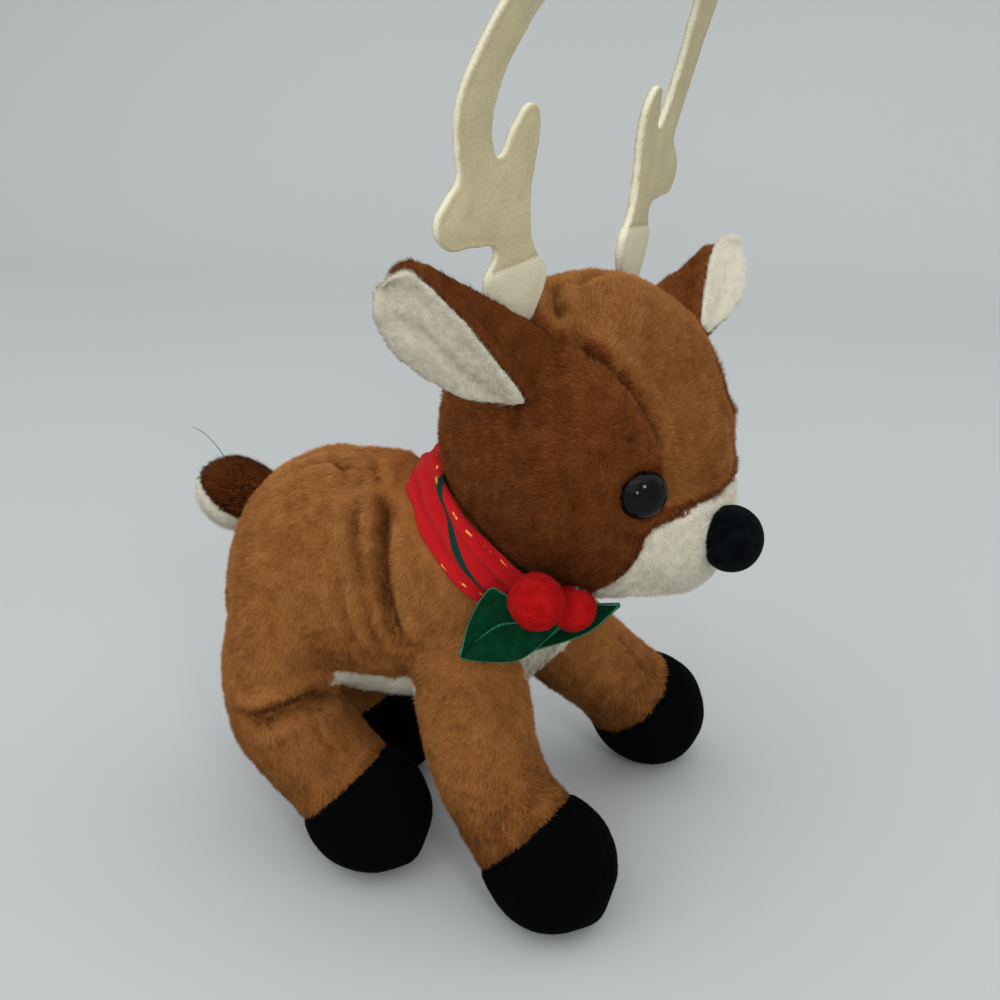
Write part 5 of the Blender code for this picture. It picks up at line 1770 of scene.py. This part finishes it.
@dataclass
class Antlers:
    """Two antlers of thick ivory felt, cut to one outline and curled forward."""

    height: float = 91.5
    width: float = 34.0
    half_thick: float = 1.35
    curl: float = 12.0
    curl_start: float = 0.45
    rim: float = 0.5
    voxel: float = 0.62
    foot: float = 0.235
    pillow: float = 0.3
    stitch: float = 0.14
    crease: float = 0.3
    outline: Spots = (
        (-0.13, -0.05), (-0.16, 0.045), (-0.31, 0.182), (-0.17, 0.281), (-0.17, 0.406), (-0.225, 0.505),
        (-0.25, 0.595), (-0.16, 0.645), (-0.02, 0.6), (0.13, 0.528), (0.205, 0.568), (0.22, 0.658),
        (0.16, 0.748), (0.02, 0.847), (-0.11, 0.951), (0.03, 1), (0.24, 0.937), (0.42, 0.82), (0.545, 0.694),
        (0.535, 0.577), (0.52, 0.501), (0.62, 0.465), (0.74, 0.406), (0.66, 0.339), (0.42, 0.321),
        (0.19, 0.285), (0.3, 0.209), (0.2, 0.06), (0.13, -0.06),
    )
    matrices: dict[str, Rows] = field(default_factory=lambda: {
        "left": (
            (0.96225, 0.24663, 0.115101, 39.676), (-0.257834, 0.961475, 0.095327, 24.299),
            (-0.087156, -0.121406, 0.988769, 164.745),
        ),
        "right": (
            (0.835479, 0.549487, 0.006175, 17.939), (-0.542567, 0.826634, -0.149323, -24.523),
            (-0.087156, 0.121406, 0.988769, 164.745),
        ),
    })

    def flat_form(self, side: Side) -> bpy.types.Object:
        """The outline as a thick flat solid, with rounded rims.

        Args:
            side: which antler.

        Returns:
            a curve object.
        """
        curve = bpy.data.curves.new(f"antler_{side.word}_flat", "CURVE")
        curve.dimensions = "2D"
        curve.fill_mode = "BOTH"
        curve.extrude = (self.half_thick - self.rim) * MM
        curve.bevel_depth = self.rim * MM
        curve.bevel_resolution = 2
        curve.offset = -self.rim * MM
        curve.resolution_u = 8
        spline = curve.splines.new("BEZIER")
        spline.use_cyclic_u = True
        spline.bezier_points.add(len(self.outline) - 1)
        for point, (out, up) in zip(spline.bezier_points, self.outline):
            point.co = (side.value * out * self.width * MM, up * self.height * MM, 0)
            point.handle_left_type = "AUTO"
            point.handle_right_type = "AUTO"
        obj = bpy.data.objects.new(f"antler_{side.word}_flat", curve)
        bpy.context.scene.collection.objects.link(obj)
        return obj

    def build(self) -> None:
        """Makes both antlers."""
        for side in Side:
            flat = self.flat_form(side)
            graph = bpy.context.evaluated_depsgraph_get()
            mesh = bpy.data.meshes.new_from_object(flat.evaluated_get(graph))
            remove(flat)
            rough = bpy.data.objects.new("antler_rough", mesh)
            bpy.context.scene.collection.objects.link(rough)
            points, faces = read_mesh(rough)
            remove(rough)
            skin = Skin(f"antler_{side.word}", [(points, [faces])], self.voxel)
            skin.relax(3)
            out = skin.normals()
            rim = smoothstep(0.55, 0.85, 1 - np.abs(out[:, 2]))
            rim = np.maximum(rim, 0.6 * smoothstep(0.242, 0.228, skin.points[:, 1] / self.height))
            flat_points = skin.points
            self.press(skin, side)
            beyond = np.maximum(flat_points[:, 1] / self.height - self.curl_start, 0) / (1 - self.curl_start)
            bent = skin.points.copy()
            wave = ripple(flat_points * [1, 1, 0], 22.0, 56 + side.value)
            bent[:, 2] += self.curl * beyond**2 + 0.5 * wave
            upright = np.array([[0, 0, 1], [1, 0, 0], [0, 1, 0]], float)
            skin.points = placed(bent @ upright.T, self.matrices[side.word])
            whole = skin.whole()
            obj = whole.build(f"antler_felt_{side.word}", Felt("pressed_felt"))
            layer = obj.data.attributes.new("rim", "FLOAT", "POINT")
            layer.data.foreach_set("value", rim.astype(np.float32))
            nodes = (f"antler_front_{side.word}", f"antler_back_{side.word}")
            declare(obj, f"antler_{side.word}", "ivory_felt", nodes)
            comb = combed(-np.asarray(self.matrices[side.word], float)[:, 2], 0.9, 37)
            fuzz = Pile(IVORY, length=0.42, width=0.11, density=9.0, tip_over=0.8, tuft=2.2)
            name, body = f"antler_fuzz_{side.word}", f"antler_{side.word}"
            fuzz.plant(name, whole, comb, None, 170 + side.value, body, "ivory_felt")

    def press(self, skin: Skin, side: Side) -> None:
        """Pillows the faces, presses the seam near the rim and creases the foot.

        Args:
            skin: the flat antler's skin, which is changed.
            side: which antler.
        """
        out = skin.normals()
        face = np.abs(out[:, 2])
        closed = np.asarray(self.outline + (self.outline[0],))
        outline = through(closed, 240) * [self.width * side.value, self.height]
        away, _ = distance_to_path(skin.points[:, :2], outline)
        amount = self.pillow * smoothstep(1.0, 5.0, away) * face - self.stitch * bell(away - 1.6, 0.5) * face
        tall = skin.points[:, 1] / self.height
        bow = 0.02 * (skin.points[:, 0] / self.width) ** 2
        amount -= self.crease * bell(tall - self.foot + bow, 0.006) * face
        # Painted shade in the stitch line and the foot's crease, and a paler tone below the crease.
        skin.hollow = 4.0 * np.minimum(amount, 0.0) + smoothstep(0.24, 0.22, tall)
        skin.push(amount + 0.12 * ripple(skin.points, 4.0, 57) * face)


@dataclass
class Tail:
    """The tail: brown above, cream beneath, with a loose thread at its tip."""

    matrix: Rows = (
        (-0.990268, 0.0, 0.139173, -61.7), (0.0, -1.0, 0.0, -3.8), (0.139173, 0.0, 0.990268, 105.022),
    )
    stations: Rows = (
        (-4.9, 0, 0, 1.4, 1.6), (-4.16, 0, 0, 3.15, 3.54), (-1.77, 0, 0, 6.38, 7.17),
        (3.65, 0, 0, 8.74, 9.82), (10.59, 0, 0, 10.11, 11.36), (16.56, 0, 0, 8.74, 9.82),
        (20.75, 0, 0, 5.33, 5.99), (22.41, 0, 0, 2.1, 2.36), (22.9, 0, 0, 0.8, 0.9),
    )
    voxel: float = 1.1
    seam_depth: float = 0.8
    seam_tilt: float = 28.0
    seam_ahead: float = 13.5
    thread: Spots = ((226, 461), (221, 452), (212, 442), (202, 434), (190, 429))

    def build(self) -> None:
        """Makes the tail's skin, pile and thread."""
        points, faces = loft(self.stations, 30, 30, [0.0] * len(self.stations))
        skin = Skin("tail", [(placed(points, self.matrix), faces)], self.voxel)
        skin.relax(5)
        matrix = np.asarray(self.matrix, float)
        tilt = math.radians(self.seam_tilt)
        normal = matrix[:, :3] @ np.array([-math.sin(tilt), 0.0, math.cos(tilt)])
        point = matrix[:, :3] @ np.array([self.seam_ahead, 0.0, 0.0]) + matrix[:, 3]

        def above(root: Array) -> Array:
            """How far places lie above the seam's plane."""
            return (root - point) @ normal

        def top(root: Array) -> Array:
            """1 on the brown cloth."""
            return (above(root) > 0).astype(float)

        def low(root: Array) -> Array:
            """1 on the cream cloth."""
            return (above(root) <= 0).astype(float)

        wave = ripple(skin.points, 5.0, 58)
        skin.push(-self.seam_depth * bell(above(skin.points), 0.9) + 0.25 * wave)
        whole = skin.whole()
        along = (whole.points - matrix[:, 3]) @ matrix[:, 0]
        # Painted shade: the pile on the brown top darkens toward the body.
        whole.hollow = -2.2 * smoothstep(19.0, 7.0, along) * (above(whole.points) > 0)
        brown = smoothstep(-0.3, 0.3, above(whole.points))[:, None]
        tint = brown * np.array(BROWN_GROUND) + (1 - brown) * np.array(CREAM_GROUND)
        obj = whole.build("tail_skin", SKIN_TINTED, tint)
        declare(obj, "tail", "brown_plush", ("tail_top", "tail_underside", "tail_filling"))
        comb = combed(matrix[:, 0], 0.6, 35)
        Pile(SHADED_TAIL_BROWN).plant("tail_pile_top", whole, comb, top, 150, "tail", "brown_plush")
        Pile(CREAM).plant("tail_pile_underside", whole, comb, low, 151, "tail", "cream_plush")
        self.build_thread(matrix)

    def build_thread(self, matrix: Array) -> None:
        """A thin loose thread: a small circle carried along a line through the tail's tip.

        Args:
            matrix: the tail's frame.
        """
        ways = CAMERA.rays(np.asarray(self.thread, float))
        start = np.asarray(CAMERA.place)
        middle = matrix[:, :3] @ np.array([11.0, 0.0, 9.0]) + matrix[:, 3]
        ahead = CAMERA.axes()[2]
        reach = ((middle - start) @ ahead) / (ways @ ahead)
        count = 24
        line = through(start + ways * reach[:, None], count)
        line[:, 1] += np.linspace(0.0, 1.0, count) ** 2 * 2.0
        radius = np.linspace(0.16, 0.1, count)
        rows = np.concatenate([line, radius[:, None], radius[:, None]], axis=1)
        points, faces = loft(rows, 40, 8)
        obj = mesh_object("tail_thread", points, faces)
        obj.data.materials.append(Moulded("grey_thread", (0.12, 0.16, 0.15), 0.7).material())
        declare(obj, "tail", "green_velvet")


# The scarf and the sprig


@dataclass
class Scarf:
    """The plaid scarf: a band of cloth gathered round the neck.

    Attributes:
        middle: the band's middle on the neck.
        tilt: the neck's rise in degrees.
        radius: the band's radius at its edges.
        half_width: half its width.
        thick: the cloth's thickness.
        rise: how far its middle stands out.
        rolls: the height of its rolls along the band.
        ruffles: the height of its small waves.
        pleats: the height of the pleats at the throat.
        stand_off: how far its lower edge stands off the chest.
    """

    middle: Sequence[float] = (8.1, 0.0, 101.7)
    tilt: float = 50.0
    radius: float = 29.1
    half_width: float = 8.6
    thick: float = 0.7
    rise: float = 1.9
    rolls: float = 0.95
    ruffles: float = 0.45
    pleats: float = 1.15
    stand_off: float = 2.4

    def axis(self) -> Array:
        """The way along the neck, toward the head."""
        tilt = math.radians(self.tilt)
        return np.array([math.cos(tilt), 0.0, math.sin(tilt)])

    def clear_of(self, points: Array) -> Array:
        """0 under the band and 1 elsewhere."""
        away = (points - self.middle - STANDING) @ self.axis()
        return (np.abs(away) > self.half_width - 1.4).astype(float)

    def build(self) -> None:
        """Makes the band.

        A point is middle + out(u) * r(u, v) + axis * v * half width, where r swells in the middle of the
        band, has pleats that fan out toward the throat, and stands off the chest at its lower edge.
        """
        axis = self.axis()
        up = np.cross(axis, LEFTWARD)
        count, rows = 420, 30
        turn = np.linspace(0.0, 2 * np.pi, count, endpoint=False)[:, None]
        across = np.linspace(-1.0, 1.0, rows)[None, :]
        throat = bell(turn - 4.25, 0.75) + bell(turn - 4.25 + 2 * np.pi, 0.75)
        ruffle = np.sin(11 * turn + 2.2 * across + 0.8 * np.sin(3 * turn))
        pleat = np.sin(26 * turn - 1.6 * across + 1.3 * np.sin(2 * turn)) * throat
        roll = self.rise * (1 - across**2)
        roll = roll + self.rolls * np.cos(3.3 * np.pi * across + 2.4 * np.sin(2 * turn))
        front = bell(turn - 4.85, 0.8) * (1 - across) / 2
        radius = self.radius + roll + self.ruffles * ruffle + self.pleats * pleat * (1 - 0.6 * front)
        radius = radius + self.stand_off * front
        width = self.half_width * (1 + 0.05 * np.sin(5 * turn) - 0.12 * throat)
        out = LEFTWARD * np.cos(turn)[..., None] + up * np.sin(turn)[..., None]
        shift = across * width + 0.5 * np.sin(4 * turn)
        points = np.asarray(self.middle) + STANDING + out * radius[..., None] + axis * shift[..., None]
        chart = np.stack(np.broadcast_arrays(turn / (2 * np.pi), (across + 1) / 2), axis=2).reshape(-1, 2)
        chart = np.clip(chart, 0.001, 0.999)
        faces = grid_faces(count, rows, closed=True)
        obj = mesh_object("scarf_cloth", points.reshape(-1, 3), [faces], chart)
        thicken(obj, self.thick)
        obj.data.materials.append(Plaid("red_plaid").material())
        declare(obj, "torso", "plaid_cloth", ("scarf",))
        length = np.linalg.norm(np.diff(points[:, rows // 2], axis=0), axis=1).sum()


def thicken(obj: bpy.types.Object, thick: float) -> None:
    """Gives a sheet its thickness, half to each side.

    Args:
        obj: the sheet.
        thick: the thickness in millimetres.
    """
    modifier = obj.modifiers.new("thickness", "SOLIDIFY")
    modifier.thickness = thick * MM
    modifier.offset = 0.0


@dataclass
class Sprig:
    """Two velvet leaves and two fuzzy pompons at the throat."""

    leaves: dict[str, Rows] = field(default_factory=lambda: {
        "near": ((23.0, -38.5, 94.0), (5.9, -44.5, 84.9), (21.6, -42.0, 84.5)),
        "far": ((32.5, -29.0, 87.5), (45.9, -26.0, 95.6), (34.0, -29.8, 85.2)),
    })
    upper: Rows = (
        (-0.8, -0.3), (-0.3, -0.45), (0.0, -0.8), (0.10, -1.25), (0.24, -1.60), (0.62, -1.05), (0.99, -0.06),
    )
    lower: Rows = (
        (-0.85, -0.1), (-0.45, 0.42), (-0.08, 0.82), (0.32, 0.98), (0.66, 0.62), (0.99, 0.06),
    )
    pompons: dict[str, tuple[Sequence[float], float]] = field(default_factory=lambda: {
        "outer": ((25.8, -41.9, 102.3), 8.2),
        "inner": ((34.2, -34.0, 97.2), 6.8),
    })
    leaf_thick: float = 0.9
    fuzz: float = 0.7
    cup: float = 0.9
    vein: float = 0.5
    wave: float = 0.35

    def build(self) -> None:
        """Makes the leaves and the pompons."""
        for word, corners in self.leaves.items():
            self.build_leaf(word, np.asarray(corners, float) + STANDING)
        for number, (word, (place, radius)) in enumerate(self.pompons.items()):
            middle = np.asarray(place) + STANDING
            angle = np.linspace(0.04, np.pi - 0.04, 26)
            core = radius - self.fuzz
            points, faces = turned(core * np.sin(angle), core * np.cos(angle), 36)
            points = points * (1 + 0.04 * wander(points, 4.0, 59 + number))
            part = part_of(points + middle, faces, middle)
            ground = Velvet("red_ground", (0.3, 0.004, 0.005), (0.45, 0.012, 0.012))
            obj = part.build(f"pompon_core_{word}", ground)
            declare(obj, "torso", "red_yarn", (f"pompon_{word}",))
            fuzz = Pile(BERRY, length=0.75, width=0.13, density=18.0, tip_over=0.7, tuft=1.2)
            comb = combed(DOWN, 1.5, 36)
            fuzz.plant(f"pompon_fuzz_{word}", part, comb, None, 160 + number, "torso", "red_yarn")

    def build_leaf(self, word: str, corners: Array) -> None:
        """One leaf: a grid between its upper and its lower edge, cupped along the middle vein.

        Args:
            word: the leaf's name.
            corners: its root, its tip and a place beside its lower edge.
        """
        root, tip, corner = corners
        along = tip - root
        width = (corner - root) - along * ((corner - root) @ along) / (along @ along)
        rows, columns = 40, 25
        part = np.linspace(0.0, 1.0, rows)[:, None]
        across = np.linspace(0.0, 1.0, columns)[None, :]
        high, low = through(self.upper, rows)[:, None], through(self.lower, rows)[:, None]
        place = high * (1 - across[..., None]) + low * across[..., None]
        up = unit(np.cross(along, width))
        side = np.abs(across - 0.5) * 2
        lift = self.cup * side**1.5 - self.vein * bell(side, 0.12) + self.wave * np.sin(7 * part + 2 * across)
        if word == "far":
            lift = -lift
        points = root + place[..., :1] * along + place[..., 1:] * width + up * (lift[..., None] - 0.2)
        chart = np.stack(np.broadcast_arrays(part, across), axis=2).reshape(-1, 2)
        faces = grid_faces(rows, columns)
        obj = mesh_object(f"leaf_velvet_{word}", points.reshape(-1, 3), [faces], chart)
        thicken(obj, self.leaf_thick)
        obj.data.materials.append(LeafVelvet("leaf_velvet").material())
        declare(obj, f"leaf_{word}", "green_velvet", (f"leaf_{word}",))
        cross = np.cross(points[1:, 1:] - points[:-1, :-1], points[1:, :-1] - points[:-1, 1:])


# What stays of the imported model, the stage and the light


def dress_kept_nodes() -> None:
    """Gives the hidden washers and stiffeners their finishes."""
    plastic = Moulded("moulded_washer", (0.75, 0.75, 0.73), 0.4).material()
    sheet = Moulded("pressed_sheet", (0.8, 0.8, 0.77), 0.85).material()
    for name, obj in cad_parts.items():
        finish = plastic if name.endswith("washer") else sheet if "stiffener" in name else None
        if finish:
            obj.data.materials.clear()
            obj.data.materials.append(finish)


def build_stage() -> None:
    """A pale floor that curves up into a backdrop: a profile carried across."""
    bend = np.linspace(0.0, np.pi / 2, 24)
    start, bend_start, radius, top, half = -900.0, 700.0, 400.0, 1800.0, 2500.0
    back = np.concatenate([[start], bend_start + radius * np.sin(bend), [bend_start + radius]])
    high = np.concatenate([[0.0], radius - radius * np.cos(bend), [top]])
    points = np.concatenate([np.stack([np.full(len(back), x), back, high], 1) for x in (-half, half)])
    obj = mesh_object("backdrop", points, [grid_faces(2, len(back))])
    maker = Maker("backdrop_paper")
    cloud = maker.noise(0.4, 2.0)
    base = maker.mix(cloud, (0.5, 0.517, 0.516), (0.525, 0.542, 0.54))
    obj.data.materials.append(maker.set(Base_Color=base, Roughness=0.9, Specular_IOR_Level=0.1))


WORLD_COLOUR = (0.95, 0.98, 1.0, 1.0)
WORLD_STRENGTH = 0.64
AIM = (0.0, 0.0, 0.1)
# Each box's name, place and width in metres, and power in watts
SOFT_BOXES = (
    ("key", (-0.5, -0.9, 1.0), 1.3, 3.4),
    ("rim", (0.9, 0.35, 0.75), 0.8, 1.0),
    ("top", (-0.1, 0.0, 1.4), 2.2, 10.5),
    ("spark", (0.55, -0.9, 0.75), 0.2, 2.4),
    ("glint", (0.1, -1.1, 0.35), 0.17, 1.3),
)


def build_light() -> None:
    """A pale world, three soft boxes, and two small ones that glint in the eyes."""
    scene = bpy.context.scene
    scene.view_settings.view_transform = "Standard"
    world = bpy.data.worlds.new("studio")
    world.use_nodes = True
    sky = world.node_tree.nodes["Background"].inputs
    sky["Color"].default_value = WORLD_COLOUR
    sky["Strength"].default_value = WORLD_STRENGTH
    scene.world = world
    for name, place, size, power in SOFT_BOXES:
        lamp = bpy.data.lights.new(name, "AREA")
        lamp.shape = "SQUARE"
        lamp.size = size
        lamp.energy = power
        obj = bpy.data.objects.new(name, lamp)
        obj.location = place
        aim = Vector(AIM) - obj.location
        obj.rotation_euler = aim.to_track_quat("-Z", "Y").to_euler()
        scene.collection.objects.link(obj)


def main() -> None:
    """Builds the camera, every piece, the stage and the light."""
    logging.basicConfig(level=logging.INFO, format="%(name)s: %(message)s")
    CAMERA.build()
    for piece in (Body(), Head(), Ears(), Antlers(), Tail(), Scarf(), Sprig()):
        piece.build()
        LOG.info("%s is done", type(piece).__name__)
    dress_kept_nodes()
    build_stage()
    build_light()


if __name__ == "__main__":
    main()
